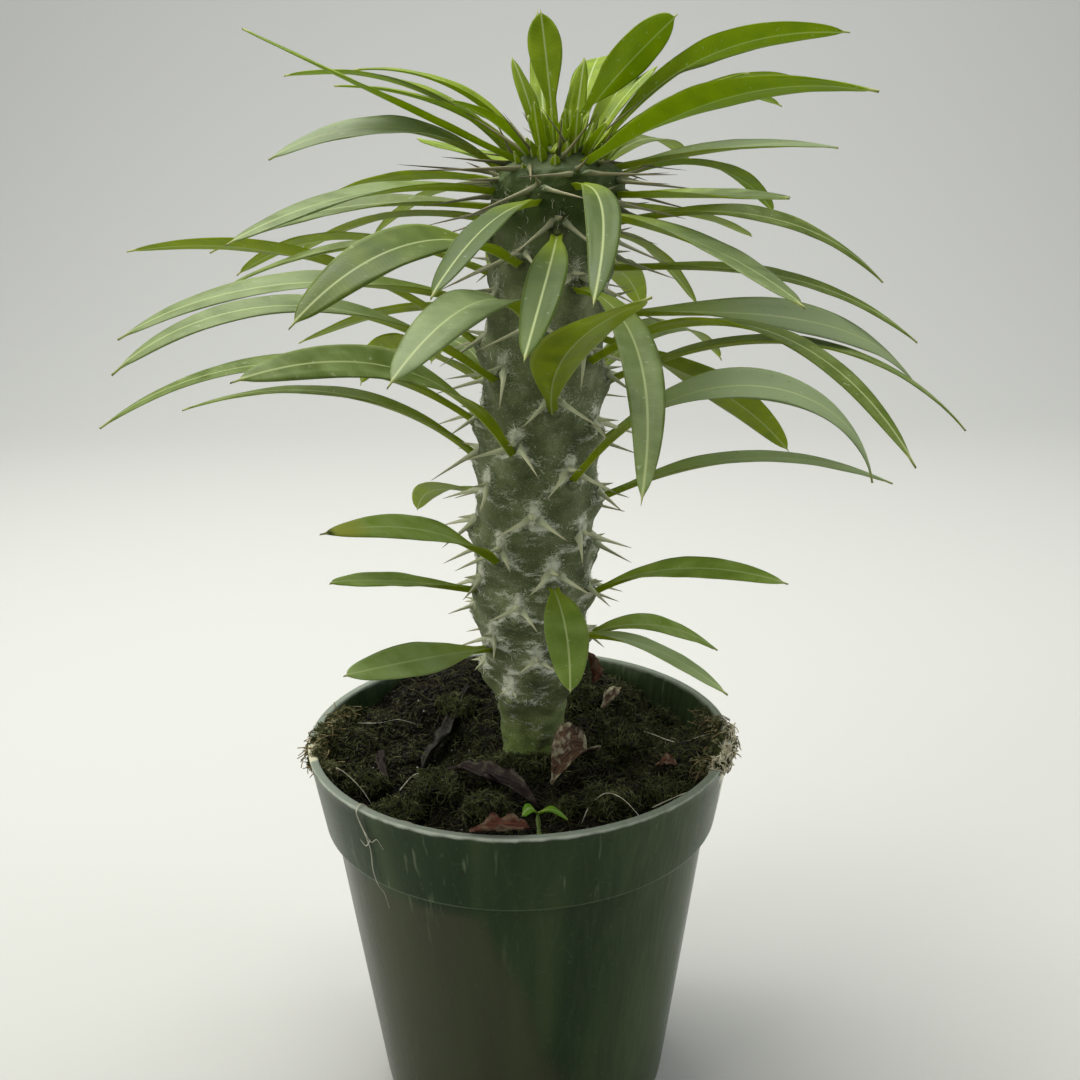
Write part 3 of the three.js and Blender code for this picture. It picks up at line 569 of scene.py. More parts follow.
def wrapped(angle):
    """The same angle between -180 and 180 degrees."""
    return (angle + 180) % 360 - 180


def bump_turn(i):
    """Which way a bump faces, in degrees from -Y towards +X."""
    return wrapped(FIRST_BUMP_TURN - GOLDEN_ANGLE * i)


def outward(turn):
    """Unit vector in plan at a turn from -Y towards +X, in degrees."""
    return Vector((math.sin(math.radians(turn)), -math.cos(math.radians(turn)), 0))


def stem_point(height, turn, extra):
    """A place on the stem in millimetres, standing out by extra from between the bumps."""
    lean = STEM_LEAN * (max(height, 0) / STEM_TOP) ** 2
    radius = float(reading(STEM_RADII, height))
    return STEM_FOOT + Vector((lean, 0, height)) + outward(turn) * (radius + extra)


def stem_relief(heights, turns):
    """How far the skin stands out, and how much felt and scar it shows, on a grid of places."""
    radius = reading(STEM_RADII, heights)
    bumps, extra, felt, scar = [np.zeros_like(heights) for _ in range(4)]
    for i in range(BUMPS):
        up = heights - bump_height(i)
        across = np.radians(wrapped(turns - bump_turn(i))) * radius
        lengthwise = np.where(up > 0, up / BUMP_ABOVE, up / BUMP_BELOW)
        bumps += BUMP_RISE * np.exp(-(across / BUMP_HALF_WIDTH) ** 2 - lengthwise ** 2)
        # the leaf scar: a small boss in a ring-shaped groove
        distance = np.hypot(across, (up - 0.6) * 1.15)
        scar_fade = 1.0 if i < 62 else 0.3
        ring = np.exp(-((distance - 1.5) / 0.45) ** 2)
        extra += scar_fade * (0.5 * np.exp(-(distance / 0.9) ** 2) - 0.35 * ring)
        scar += scar_fade * ring
        # a brow that the spines stand on, a woolly pad above it, and ridges that run down from its ends
        brow = up - 2.8 + 0.14 * np.abs(across) ** 1.4
        extra += 0.8 * np.exp(-(across / 3.2) ** 2 - (brow / 0.9) ** 2)
        pad = np.exp(-(across / 2.3) ** 2 - ((up - 5.6) / 2.4) ** 2)
        extra += pad * (0.5 + 0.3 * np.sin(across * 2.1 + i))
        shoulder = up - 2.2 + 0.5 * np.abs(across) + 0.5 * np.sin(across * 0.9 + i)
        shoulder = np.exp(-(across / 7.5) ** 4 - (shoulder / 0.75) ** 2) * (1.0 if i < 40 else 0.4)
        extra += 0.5 * shoulder
        felt_share = float(reading([(0, 1), (45, 1), (60, 0.5), (75, 0.1)], i))
        fringe = np.exp(-(across / 3.2) ** 2 - ((brow - 0.5) / 0.8) ** 2)
        felt += felt_share * (fringe + pad + 0.72 * shoulder)
    return np.minimum(bumps, BUMP_LIMIT) + extra, np.minimum(felt, 1), np.minimum(scar, 1)


def wrinkle(height, turn):
    """Fine creases that run round the stem, strongest low down, in millimetres."""
    around = math.radians(turn)
    spot = Vector((2.2 * math.cos(around), 2.2 * math.sin(around), height / 3.2))
    low = max(0.0, min(1.0, (70 - height) / 50))
    fine = noise.noise(Vector((14 * math.cos(around), 14 * math.sin(around), height / 1.1)))
    return (0.15 + 0.55 * low) * noise.noise(spot) + 0.09 * fine


def make_stem(name, low, high, rows):
    """The stem's skin from one height to another, closed at both ends."""
    # a row just inside each end keeps the skin's shading straight up to the cut
    levels = np.concatenate([[low], np.linspace(low + 0.02, high - 0.02, rows - 2), [high]])
    heights, turns = np.meshgrid(levels, np.arange(STEM_SIDES) / STEM_SIDES * 360, indexing="ij")
    out, felt, scar = stem_relief(heights, turns)
    points = []
    for k in range(rows):
        for j in range(STEM_SIDES):
            height, turn = heights[k, j], turns[k, j]
            taper = min(1.0, (TIP_HEIGHT - height) / TIP_TAPER)
            points.append(stem_point(height, turn, (out[k, j] + wrinkle(height, turn)) * taper))
    faces = ring_faces(rows, STEM_SIDES)
    for row, turned in ((0, True), (rows - 1, False)):
        middle = len(points)
        first = row * STEM_SIDES
        points.append(sum((points[first + j] for j in range(STEM_SIDES)), Vector()) / STEM_SIDES)
        for j in range(STEM_SIDES):
            pair = (first + j, first + (j + 1) % STEM_SIDES)
            faces.append((pair[1], pair[0], middle) if turned else (pair[0], pair[1], middle))
    stem = smooth_mesh(name, points, faces)
    for label, values in (("felt", felt), ("scar", scar), ("height", heights)):
        flat = np.append(values.ravel(), [values[0, 0], values[-1, 0]])
        set_attribute(stem.data, label, "FLOAT", flat)
    return stem


stem = make_stem("swollen_stem", STEM_ROOT, STEM_TOP, STEM_ROWS)
tip = make_stem("growing_tip", STEM_TOP, TIP_HEIGHT, TIP_ROWS)

# Succulent bark: a smooth grey-green skin with pale specks, under curled wisps of silver felt. It is greener
# near the soil, where algae grow, and at the growing tip. Matt, with a faint sheen.
bark, tree = new_material("succulent bark")
where = add(tree, "ShaderNodeTexCoord")["Object"]
felty, scarred, tall = [
    add(tree, "ShaderNodeAttribute", attribute_name=label)["Fac"] for label in ("felt", "scar", "height")]
mottle = add(tree, "ShaderNodeTexNoise", {"Vector": where, "Scale": 150.0, "Detail": 4.0})["Fac"]
skin = ramp(
    add(tree, "ShaderNodeValToRGB", (mottle,)), (0.3, "#3a4324"), (0.52, "#565f3c"), (0.75, "#767e5b"))
foot_green, speck_share, drift_share, silver_share = [
    add(tree, "ShaderNodeMapRange", (tall, start, end, first, last))[0]
    for start, end, first, last in (
        (26.0, 4.0, 0.0, 1.4), (110.0, 140.0, 0.5, 0.12), (35.0, 130.0, 0.68, 0.08),
        (118.0, 142.0, 0.9, 0.12))]
foot_green = add(tree, "ShaderNodeMath", (foot_green, mottle), operation="MULTIPLY")[0]
textures = []
for rotation, scale, detail, roughness, distortion in (
        ((0, 0, 0), (2700, 2700, 2000), 3.0, 0.5, 0.0), ((0.25, 0.2, 0), (420, 420, 900), 4.0, 0.6, 1.2),
        ((0.25, 0.2, 0), (170, 170, 420), 3.0, 0.5, 0.0)):
    drawn_out = add(tree, "ShaderNodeMapping", {"Vector": where, "Rotation": rotation, "Scale": scale})[0]
    textures.append(add(tree, "ShaderNodeTexNoise", {
        "Vector": drawn_out, "Scale": 1.0, "Detail": detail, "Roughness": roughness,
        "Distortion": distortion})["Fac"])
grain, curls, drifts = textures
# wisps are the lines along which a contorted noise passes its middle value
wisps = add(tree, "ShaderNodeMath", (curls, 0.5), operation="SUBTRACT")[0]
wisps = add(tree, "ShaderNodeMath", (wisps,), operation="ABSOLUTE")[0]
wisps = add(tree, "ShaderNodeMapRange", (wisps, 0.0, 0.05, 0.55, 0.0))[0]
drifts = add(tree, "ShaderNodeMapRange", (drifts, 0.48, 0.66, 0.0, drift_share))[0]
silver = felty
for part in (drifts, wisps):
    silver = add(tree, "ShaderNodeMath", (silver, part), operation="ADD")[0]
silver = add(tree, "ShaderNodeMath", (foot_green, -0.4, silver), operation="MULTIPLY_ADD")[0]
silver = add(tree, "ShaderNodeMapRange", (silver, 0.5, 1.15, 0.0, silver_share))[0]
skin = coated(
    tree, skin, ("#5a6d30", foot_green), ("#2c3f08", (tall, 126.0, 146.0, 0.0, 0.9)),
    # pores 0.3 mm across, dark in some places and filled with pale wax in others
    ("#323a20", (grain, 0.47, 0.33, 0.0, 0.38)), ("#a4a98e", (grain, 0.6, 0.72, 0.0, speck_share)),
    # the grooves of the leaf scars, and the felt
    ("#343a23", scarred, 0.6), ("#c5c9b8", silver))
fuzz = add(tree, "ShaderNodeMath", (silver, 0.8, grain), operation="MULTIPLY_ADD")[0]
relief = add(tree, "ShaderNodeBump", {"Strength": 0.5, "Distance": 0.0003, "Height": fuzz})[0]
shader = add(tree, "ShaderNodeBsdfPrincipled", {
    "Base Color": skin, "Roughness": 0.68, "Normal": relief, "Specular IOR Level": 0.2,
    "Sheen Weight": 0.04, "Sheen Roughness": 0.5})
add(tree, "ShaderNodeOutputMaterial", {"Surface": shader[0]})
stem.data.materials.append(bark)
tip.data.materials.append(bark)
place(stem, "bark", "stem")
place(tip, "bark", "crown")

# short hairs stand out of the felt
felt_hair = plain_material("felt hair", [(0.3, "#a9ad98"), (0.7, "#dadccb")], 300, 0.9)
hairs = new_object("felt_hairs", stem.data.copy())
hairs.data.attributes["felt"].name = "moss"
grow(hairs, strand_tree, Density=1.2e6, Length=0.0016, Thickness=0.00005, Tilt=1.6, Seed=31,
     Material=felt_hair)
settle([hairs])
place(hairs, "bark")


# ---------------------------------------------------------------- spines
# Hard straight spines, two long and one short to each bump. They are flared where they stand on
# the felt, grey and stubby on the old stem, and long, thin and brown near the growing tip.

SPINE_ABOVE, SPINE_ASIDE, SPINE_SPREAD, SPINE_SUNK = 2.8, 6, 42, 0.2
# by bump: degrees above level, length and radius
SPINE_RISES = [(0, -18), (60, -18), (75, 0), (88, 35)]
SPINE_LENGTHS = [(0, 2), (3, 4), (8, 8), (30, 12), (60, 17), (75, 23), (88, 20)]
SPINE_RADII = [(0, 0.5), (20, 0.78), (60, 0.6), (88, 0.42)]
# the third spine: degrees aside, share of the length and, over the others, its rise and its height
THIRD_ASIDE, THIRD_SHARE, THIRD_RISE, THIRD_ABOVE = 4, 0.4, 25, 0.9
# from this bump on they crowd on the growing tip, where the third is long and steep and some are missing
CROWDED, CROWDED_SHARE, CROWDED_RISE, MISSING = 75, 0.7, 60, 0.3

tree, given = new_tree("spines", [("Bend", "Float", 0.06), ("Material", "Material", None)])
middle = add(tree, "ShaderNodeCombineXYZ", {0: given["Bend"], 1: 0.0, 2: 0.5})[0]
path = add(tree, "GeometryNodeCurveQuadraticBezier", {
    "Resolution": 5, "Start": (0, 0, -0.1), "Middle": middle, "End": (0, 0, 1)})[0]
along = add(tree, "GeometryNodeSplineParameter")["Factor"]
path = add(tree, "GeometryNodeStoreNamedAttribute", {
    0: path, "Name": "along", "Value": along}, data_type="FLOAT")[0]
taper = add(tree, "ShaderNodeMath", (1.03, along), operation="SUBTRACT")[0]
taper = add(tree, "ShaderNodeMath", (taper, 0.85), operation="POWER")[0]
flare = add(tree, "ShaderNodeMath", (along, -9.0), operation="MULTIPLY")[0]
flare = add(tree, "ShaderNodeMath", (flare,), operation="EXPONENT")[0]
taper = add(tree, "ShaderNodeMath", (flare, 0.9, taper), operation="MULTIPLY_ADD")[0]
round_profile = add(tree, "GeometryNodeCurvePrimitiveCircle", {"Resolution": 6, "Radius": 1.0})[0]
spine = add(tree, "GeometryNodeCurveToMesh", {
    0: path, 1: round_profile, "Scale": taper, "Fill Caps": True})[0]
heading, size = [
    add(tree, "GeometryNodeInputNamedAttribute", (label,), data_type="FLOAT_VECTOR")[0]
    for label in ("heading", "size")]
aim = add(tree, "FunctionNodeAlignRotationToVector", {"Vector": heading}, axis="Z")[0]
spines = add(tree, "GeometryNodeInstanceOnPoints", {
    0: given["Geometry"], "Instance": spine, "Rotation": aim, "Scale": size})[0]
spine_tree = finish_tree(tree, spines, given["Material"])


def surface_out(height, turn):
    """How far the skin stands out at one place, in millimetres."""
    out, _, _ = stem_relief(np.array([[height]]), np.array([[turn]]))
    return float(out[0, 0])


rng = np.random.default_rng(7)


def plant_spines(name, bumps):
    """Two long spines and a short one over each bump. Among the crowded ones some are missing."""
    starts, headings, sizes, ages = [], [], [], []
    for i in bumps:
        turn, length = bump_turn(i), float(reading(SPINE_LENGTHS, i))
        thick, rising = float(reading(SPINE_RADII, i)), float(reading(SPINE_RISES, i))
        third = (THIRD_ASIDE, THIRD_SHARE, rising + THIRD_RISE)
        if i >= CROWDED:
            third = (THIRD_ASIDE, CROWDED_SHARE, CROWDED_RISE)
        for spread, share, rise in ((-SPINE_SPREAD, 1.0, rising), (SPINE_SPREAD, 1.0, rising), third):
            height = bump_height(i) + SPINE_ABOVE + (THIRD_ABOVE if share < 1 else 0)
            turned = turn + math.copysign(SPINE_ASIDE, spread) * (share == 1)
            jitter = rng.normal(0, 5 if i < CROWDED else 11, 2)
            way = outward(turn + spread + jitter[0]) * math.cos(math.radians(rise + jitter[1]))
            way.z = math.sin(math.radians(rise + jitter[1]))
            long = length * share * rng.uniform(0.85 if i < CROWDED else 0.5, 1.15)
            if i >= CROWDED and rng.random() < MISSING:
                continue
            out = surface_out(height, turned) * (height < TIP_HEIGHT - 3)
            starts.append(stem_point(height, turned, out - SPINE_SUNK))
            headings.append(way)
            sizes.append((thick * MM, thick * MM, long * MM))
            ages.append(i / BUMPS)
    thing = smooth_mesh(name, starts, [])
    set_attribute(thing.data, "heading", "FLOAT_VECTOR", headings)
    set_attribute(thing.data, "size", "FLOAT_VECTOR", sizes)
    set_attribute(thing.data, "age", "FLOAT", ages)
    return thing


# Dead spine wood: grey green and waxy at the foot, straw along its length, brown at the point.
spine_wood, tree = new_material("spine wood")
along = add(tree, "ShaderNodeAttribute", attribute_name="along")["Fac"]
age = add(tree, "ShaderNodeAttribute", attribute_name="age")["Fac"]
old = ramp(add(tree, "ShaderNodeValToRGB", (along,)),
           (0.0, "#a0a78c"), (0.35, "#b9bd9c"), (0.8, "#a9a888"), (1.0, "#6c624b"))
young = ramp(add(tree, "ShaderNodeValToRGB", (along,)),
             (0.0, "#4a5632"), (0.2, "#6d6c4c"), (0.7, "#615a41"), (1.0, "#362b20"))
newness = add(tree, "ShaderNodeMapRange", (age, 0.45, 0.85))[0]
straw = add(tree, "ShaderNodeMix", {0: newness, 6: old, 7: young}, data_type="RGBA")[2]
shader = add(tree, "ShaderNodeBsdfPrincipled", {
    "Base Color": straw, "Roughness": 0.6, "Specular IOR Level": 0.3})
add(tree, "ShaderNodeOutputMaterial", {"Surface": shader[0]})

TIP_FROM = next(i for i in range(BUMPS) if bump_height(i) + SPINE_ABOVE > STEM_TOP - 2)
stem_spines = plant_spines("stem_spines", range(TIP_FROM))
tip_spines = plant_spines("tip_spines", range(TIP_FROM, BUMPS))
for thing in (stem_spines, tip_spines):
    grow(thing, spine_tree, Bend=0.07, Material=spine_wood)
settle([stem_spines, tip_spines])
place(stem_spines, "bark", "stem")
place(tip_spines, "bark", "crown")


# ---------------------------------------------------------------- leaves
# Leathery strap leaves, each growing from its own bump. They are channelled at the base, nearly flat
# at the tip, and end in a small curved point. Wax and a painted sheen make the upper side grey green,
# some leaves are darkened with painted shade, and light comes through yellow green from below.

# bump, turn, sweep, rise, fall, bend, length, width, roll
# turn and sweep bend the leaf sideways from its bump's own direction, rise and fall are how it
# climbs at its base and tip, bend is how early it arches, and roll turns the blade on its midrib.
LEAVES = [
    # low on the stem
    (7, 15, 15, 40, -40, 0.5, 46, 9, 20), (8, 15, 10, 15, 15, 1.3, 67, 10, -35),
    (10, -10, 5, 22, -12, 1.3, 66, 9, -10), (15, -5, -5, 35, -10, 0.9, 55, 9, 20),
    (16, 20, 30, 20, 15, 1.7, 60, 9, -15), (18, -10, -10, 0, -10, 1.3, 56, 10, 0),
    (21, 5, -20, 35, 0, 1.4, 62, 10, -30), (27, -5, -25, -5, -35, 1.5, 78, 9, 20),
    (28, 5, 5, 25, -25, 1.2, 79, 10, 5),
    # in front and at the sides
    (31, 20, 50, 50, -80, 1.7, 94, 12, 25), (32, 0, 5, 45, -20, 0.7, 90, 9, -5),
    (34, -10, -10, 50, -10, 1, 93, 12, -35), (37, 0, -5, 40, -35, 1, 97, 11, -10),
    (39, -15, 30, 30, 15, 1, 93, 13, 0), (40, -5, -25, 20, -45, 1.4, 80, 10, 50),
    (41, -5, -10, 25, -50, 1.3, 99, 9, 5), (42, -10, -15, 35, -40, 1.6, 98, 12, -15),
    (44, -5, -10, 28, -45, 1.3, 108, 9, -5), (45, -8, 0, 40, -10, 0.9, 102, 10, 25),
    (46, -5, 15, -20, -40, 1.6, 95, 11, -35), (47, 0, -15, 30, -30, 1.1, 90, 13, -10),
    (49, 10, 40, 0, -45, 2.2, 93, 13, 35), (50, -5, -5, 15, -30, 1.6, 89, 12, -15),
    (52, 0, -35, 10, -32, 0.5, 95, 8, 0), (54, -5, -10, 0, -40, 1.8, 88, 8, 20),
    (55, 5, -10, 20, -35, 1.3, 86, 12, -25), (58, -8, -10, 5, -30, 1.3, 76, 9, -10),
    (59, 15, -5, 5, -35, 0.8, 88, 8, 15), (60, -5, -5, -5, -18, 1.2, 88, 8, 0),
    (61, 0, 5, 10, -25, 1.1, 94, 8, 5), (62, 0, 10, 10, -45, 1.4, 72, 8, 25),
    (65, -5, -15, -5, -15, 1.3, 88, 12, -10), (66, -5, -5, 5, -25, 1.3, 86, 11, -25),
    (67, 15, 20, -5, -12, 1.3, 87, 8, 5), (68, 5, 0, 0, -20, 1.2, 88, 9, 10),
    (70, -30, -35, 0, 0, 1.3, 80, 10, 5), (71, 15, 15, 8, -22, 1, 75, 12, -5),
    (73, -5, -20, 5, -25, 0.8, 91, 7, 0), (74, -15, 0, 12, -12, 0.6, 86, 10, 10),
    # behind
    (33, 0, 5, 30, -40, 1.2, 90, 11, 10), (35, 5, -10, 35, -35, 1.2, 92, 11, -10),
    (38, -5, 5, 30, -40, 1.3, 95, 12, 15), (43, 0, 10, 20, -40, 1.3, 95, 12, -10),
    (48, 10, 35, 5, -25, 1.2, 76, 12, 10), (51, 0, 5, 10, -35, 1.3, 95, 11, -15),
    (53, 0, -10, 20, -30, 1.3, 90, 11, 10), (56, -5, 5, 15, -35, 1.2, 92, 12, 0),
    (64, 0, -10, 15, -25, 1.3, 92, 11, 10), (69, 5, 10, 10, -30, 1.2, 90, 11, -10),
    (72, 0, 5, 25, -20, 1.2, 88, 11, 10),
    # on the growing tip
    (75, 25, 25, 25, -30, 0.7, 78, 9, 5), (77, -5, -10, 30, -25, 1.1, 86, 11, 10),
    (79, 5, 0, 42, -30, 0.9, 60, 11, -25), (80, 0, 5, 40, -15, 1, 85, 10, 0),
    (82, 0, 0, 10, 10, 1, 52, 9, 0), (83, 25, 35, 10, -5, 1.3, 78, 9, 15),
    (85, 0, 10, 55, -5, 0.9, 78, 10, -10), (86, 5, -5, 18, -12, 1.6, 94, 10, -20),
    (87, -5, -5, 58, -5, 0.6, 76, 9, 5), (88, 5, 20, 60, -10, 0.5, 86, 10, -15),
    (90, -15, 0, 35, 55, 1.5, 59, 6, 0), (92, -10, -10, 25, 25, 1.3, 71, 8, 0),
    (93, -15, -5, 58, 40, 1.2, 36, 7, 20), (95, 30, -5, 60, -5, 0.9, 52, 9, -5),
    (96, 5, -5, 75, -5, 0.6, 70, 10, -35),
    (98, -30, 0, 70, 60, 1, 26, 4, 0), (99, 0, 0, 50, 40, 1, 10, 4, 0),
    (100, 0, 0, 45, 0, 0.8, 50, 7, 0), (101, 0, 0, 60, 30, 1, 30, 7, 0),
    (102, 132, -5, 57, 38, 0.4, 46, 12, -65), (103, 0, 0, 65, 50, 1, 28, 5, 0),
    (104, 0, 0, 40, 10, 1, 40, 6, 0), (105, 25, 5, 40, 5, 0.9, 30, 5, 0),
    (106, 0, 0, 75, 65, 1, 24, 4, 0), (107, 0, 0, 80, 70, 1, 10, 3, 0),
    (109, 0, 0, 50, 20, 1, 45, 7, 0), (110, 10, 0, 60, 70, 1, 12, 3, 0),
    (111, 0, 10, 70, 70, 1, 36, 8.5, -15),
]
YOUNG = 75
PATH_STEPS, LEAF_FOOT, ROOT_DEPTH = 48, 0.7, 2.0

# Bends a sheet round into a flat closed sleeve, the leaf's upper and lower skin, and lays it along a line.
tree, given = new_tree("strap leaf", [
    ("Width", "Float", 0.01), ("Stalk", "Float", 0.003), ("Fold at base", "Float", 25.0),
    ("Fold at tip", "Float", -5.0), ("Rib", "Float", 0.0008), ("Edge", "Float", 0.0005),
    ("Wave", "Float", 0.0005), ("Widest", "Float", 1.2), ("Seed", "Float", 0.0), ("Tone", "Float", 0.5),
    ("Worn", "Float", 0.0), ("Material", "Material", None)])
spine_line = add(tree, "GeometryNodeMeshToCurve", (given["Geometry"],))[0]
sheet = add(tree, "GeometryNodeMeshGrid", {"Size X": 1.0, "Size Y": 1.0, "Vertices X": 44, "Vertices Y": 25})
along, round_way, _ = add(tree, "ShaderNodeSeparateXYZ", (sheet["UV Map"],))
across = add(tree, "ShaderNodeMath", (round_way, 4.0, -2.0), operation="MULTIPLY_ADD")[0]
across = add(tree, "ShaderNodeMath", (across,), operation="ABSOLUTE")[0]
across = add(tree, "ShaderNodeMath", (across, 1.0), operation="SUBTRACT")[0]
aside = add(tree, "ShaderNodeMath", (across,), operation="ABSOLUTE")[0]
upper = add(tree, "ShaderNodeMath", (round_way, 0.5), operation="LESS_THAN")[0]
# half the width: a strap that is widest past its middle, then a point a few tenths of a millimetre wide.
# Here and below, a chain of sums is a row of (operation, second value), and a sine, say, ignores the second.
outline = add(tree, "ShaderNodeMath", (along, 1.03), operation="MULTIPLY", use_clamp=True)[0]
blunt = add(tree, "ShaderNodeMapRange", {0: along, 3: 1.1, 4: 0.5})[0]
for operation, other in (
        ("POWER", given["Widest"]), ("MULTIPLY", math.pi), ("SINE", 0.0), ("MAXIMUM", 0.0), ("POWER", blunt)):
    outline = add(tree, "ShaderNodeMath", (outline, other), operation=operation)[0]
stalk = add(tree, "ShaderNodeMath", (along, 0.5), operation="LESS_THAN")[0]
stalk = add(tree, "ShaderNodeMath", (stalk, given["Stalk"]), operation="MULTIPLY")[0]
inside = add(tree, "ShaderNodeMath", (along, 0.5, 0.4999), operation="COMPARE")[0]
half = outline
for operation, other in (
        ("MULTIPLY", given["Width"]), ("MAXIMUM", stalk), ("MAXIMUM", 0.0005), ("MULTIPLY", 0.5),
        ("MULTIPLY", inside)):
    half = add(tree, "ShaderNodeMath", (half, other), operation=operation)[0]
# lift: the trough at the base opens out along the leaf, and its margins wave a little
fold = add(tree, "ShaderNodeMapRange", {0: along, 3: given["Fold at base"], 4: given["Fold at tip"]})[0]
for operation in ("RADIANS", "TANGENT"):
    fold = add(tree, "ShaderNodeMath", (fold,), operation=operation)[0]
trough = aside
for operation, other in (("POWER", 1.3), ("MULTIPLY", half), ("MULTIPLY", fold)):
    trough = add(tree, "ShaderNodeMath", (trough, other), operation=operation)[0]
wave = add(tree, "ShaderNodeCombineXYZ", (along, across, given["Seed"]))[0]
wave = add(tree, "ShaderNodeTexNoise", {"Vector": wave, "Scale": 4.0, "Detail": 1.0})["Fac"]
for operation, other in (
        ("SUBTRACT", 0.5), ("MULTIPLY", given["Wave"]), ("MULTIPLY", aside), ("MULTIPLY", outline)):
    wave = add(tree, "ShaderNodeMath", (wave, other), operation=operation)[0]
lift = add(tree, "ShaderNodeMath", (trough, wave), operation="ADD")[0]
# thickness: thin rounded margins, and a rib that stands out below the midrib
squared = add(tree, "ShaderNodeMath", (across, across), operation="MULTIPLY")[0]
inward = add(tree, "ShaderNodeMath", (1.0, squared), operation="SUBTRACT", use_clamp=True)[0]
thin = inward
for operation, other in (("SQRT", 0.0), ("MULTIPLY", given["Edge"]), ("MULTIPLY", 0.5)):
    thin = add(tree, "ShaderNodeMath", (thin, other), operation=operation)[0]
from_rib = add(tree, "ShaderNodeMath", (across, half), operation="MULTIPLY")[0]
to_tip = add(tree, "ShaderNodeMapRange", (along, 0.0, 0.95, 1.0, 0.05))[0]
rib = from_rib
for operation, other in (
        ("DIVIDE", 0.0009), ("POWER", 2.0), ("MULTIPLY", -1.0), ("EXPONENT", 0.0), ("MULTIPLY", given["Rib"]),
        ("MULTIPLY", to_tip), ("MULTIPLY", inside), ("MULTIPLY", inward)):
    rib = add(tree, "ShaderNodeMath", (rib, other), operation=operation)[0]
above = add(tree, "ShaderNodeMath", (rib, -0.15, thin), operation="MULTIPLY_ADD")[0]
below = add(tree, "ShaderNodeMath", (rib, thin), operation="ADD")[0]
below = add(tree, "ShaderNodeMath", (below, -1.0), operation="MULTIPLY")[0]
skin_side = add(tree, "ShaderNodeMix", {0: upper, 2: below, 3: above}, data_type="FLOAT")[0]
height = add(tree, "ShaderNodeMath", (lift, skin_side), operation="ADD")[0]
# each point of the sheet goes to its place beside the line
sampled = []
for label in ("side", "up"):
    way = add(tree, "GeometryNodeInputNamedAttribute", (label,), data_type="FLOAT_VECTOR")[0]
    sampled.append(add(tree, "GeometryNodeSampleCurve", {
        0: spine_line, "Value": way, "Factor": along}, data_type="FLOAT_VECTOR", mode="FACTOR"))
side, up = sampled
sideways = add(tree, "ShaderNodeVectorMath", {0: side[0], "Scale": from_rib}, operation="SCALE")[0]
upwards = add(tree, "ShaderNodeVectorMath", {0: up[0], "Scale": height}, operation="SCALE")[0]
spot = side["Position"]
for shift in (sideways, upwards):
    spot = add(tree, "ShaderNodeVectorMath", (spot, shift), operation="ADD")[0]
blade = add(tree, "GeometryNodeSetPosition", {0: sheet[0], "Position": spot})[0]
reach = add(tree, "GeometryNodeCurveLength", (spine_line,))[0]
reach = add(tree, "ShaderNodeMath", (reach, along), operation="MULTIPLY")[0]
on_blade = add(tree, "ShaderNodeCombineXYZ", (from_rib, reach, aside))[0]
for label, value, kind, domain in (
        ("blade", on_blade, "FLOAT_VECTOR", "POINT"), ("along", along, "FLOAT", "POINT"),
        ("tone", given["Tone"], "FLOAT", "POINT"), ("worn", given["Worn"], "FLOAT", "POINT"),
        ("upper", upper, "FLOAT", "FACE")):
    blade = add(tree, "GeometryNodeStoreNamedAttribute", {
        0: blade, "Name": label, "Value": value}, data_type=kind, domain=domain)[0]
# the sleeve's edges are welded, and its faces turned outwards
blade = add(tree, "GeometryNodeMergeByDistance", {0: blade, "Distance": 1e-6})[0]
for kind in ("GeometryNodeFlipFaces", "GeometryNodeSetShadeSmooth"):
    blade = add(tree, kind, (blade,))[0]
blade_tree = finish_tree(tree, blade, given["Material"])


def open_line(name, points):
    """An object of straight edges from each point to the next, in millimetres."""
    mesh = bpy.data.meshes.new(name)
    mesh.from_pydata([tuple(p * MM) for p in points], [(k, k + 1) for k in range(len(points) - 1)], [])
    return new_object(name, mesh)


def midrib(name, points, sides, ups):
    """A line for a blade to follow, in millimetres, with the blade's own directions along it."""
    thing = open_line(name, points)
    set_attribute(thing.data, "side", "FLOAT_VECTOR", sides)
    set_attribute(thing.data, "up", "FLOAT_VECTOR", ups)
    return thing


def leaf_line(name, bump, turn, sweep, rise, fall, bend, length, roll, height=None):
    """The midrib of a leaf that grows from a bump and curves away from the stem."""
    def forward(share):
        """The way that the leaf heads at a share of its length."""
        climb = math.radians(rise + (fall - rise) * share ** bend)
        way = outward(bump_turn(bump) + turn + sweep * share) * math.cos(climb)
        return way + Vector((0, 0, math.sin(climb)))

    spot = stem_point(height or bump_height(bump), bump_turn(bump), LEAF_FOOT)
    points = [spot - outward(bump_turn(bump)) * ROOT_DEPTH]
    sides, ups = [], []
    for k in range(PATH_STEPS + 1):
        share = k / PATH_STEPS
        ahead = forward(share)
        side = outward(bump_turn(bump) + turn + sweep * share + 90)
        side.rotate(Matrix.Rotation(math.radians(roll * min(1, 2 * share)), 3, ahead))
        points.append(spot.copy())
        sides.append(side)
        ups.append(ahead.cross(side))
        spot = spot + forward(share + 0.5 / PATH_STEPS) * (length / PATH_STEPS)
    return midrib(name, points, sides[:1] + sides, ups[:1] + ups)


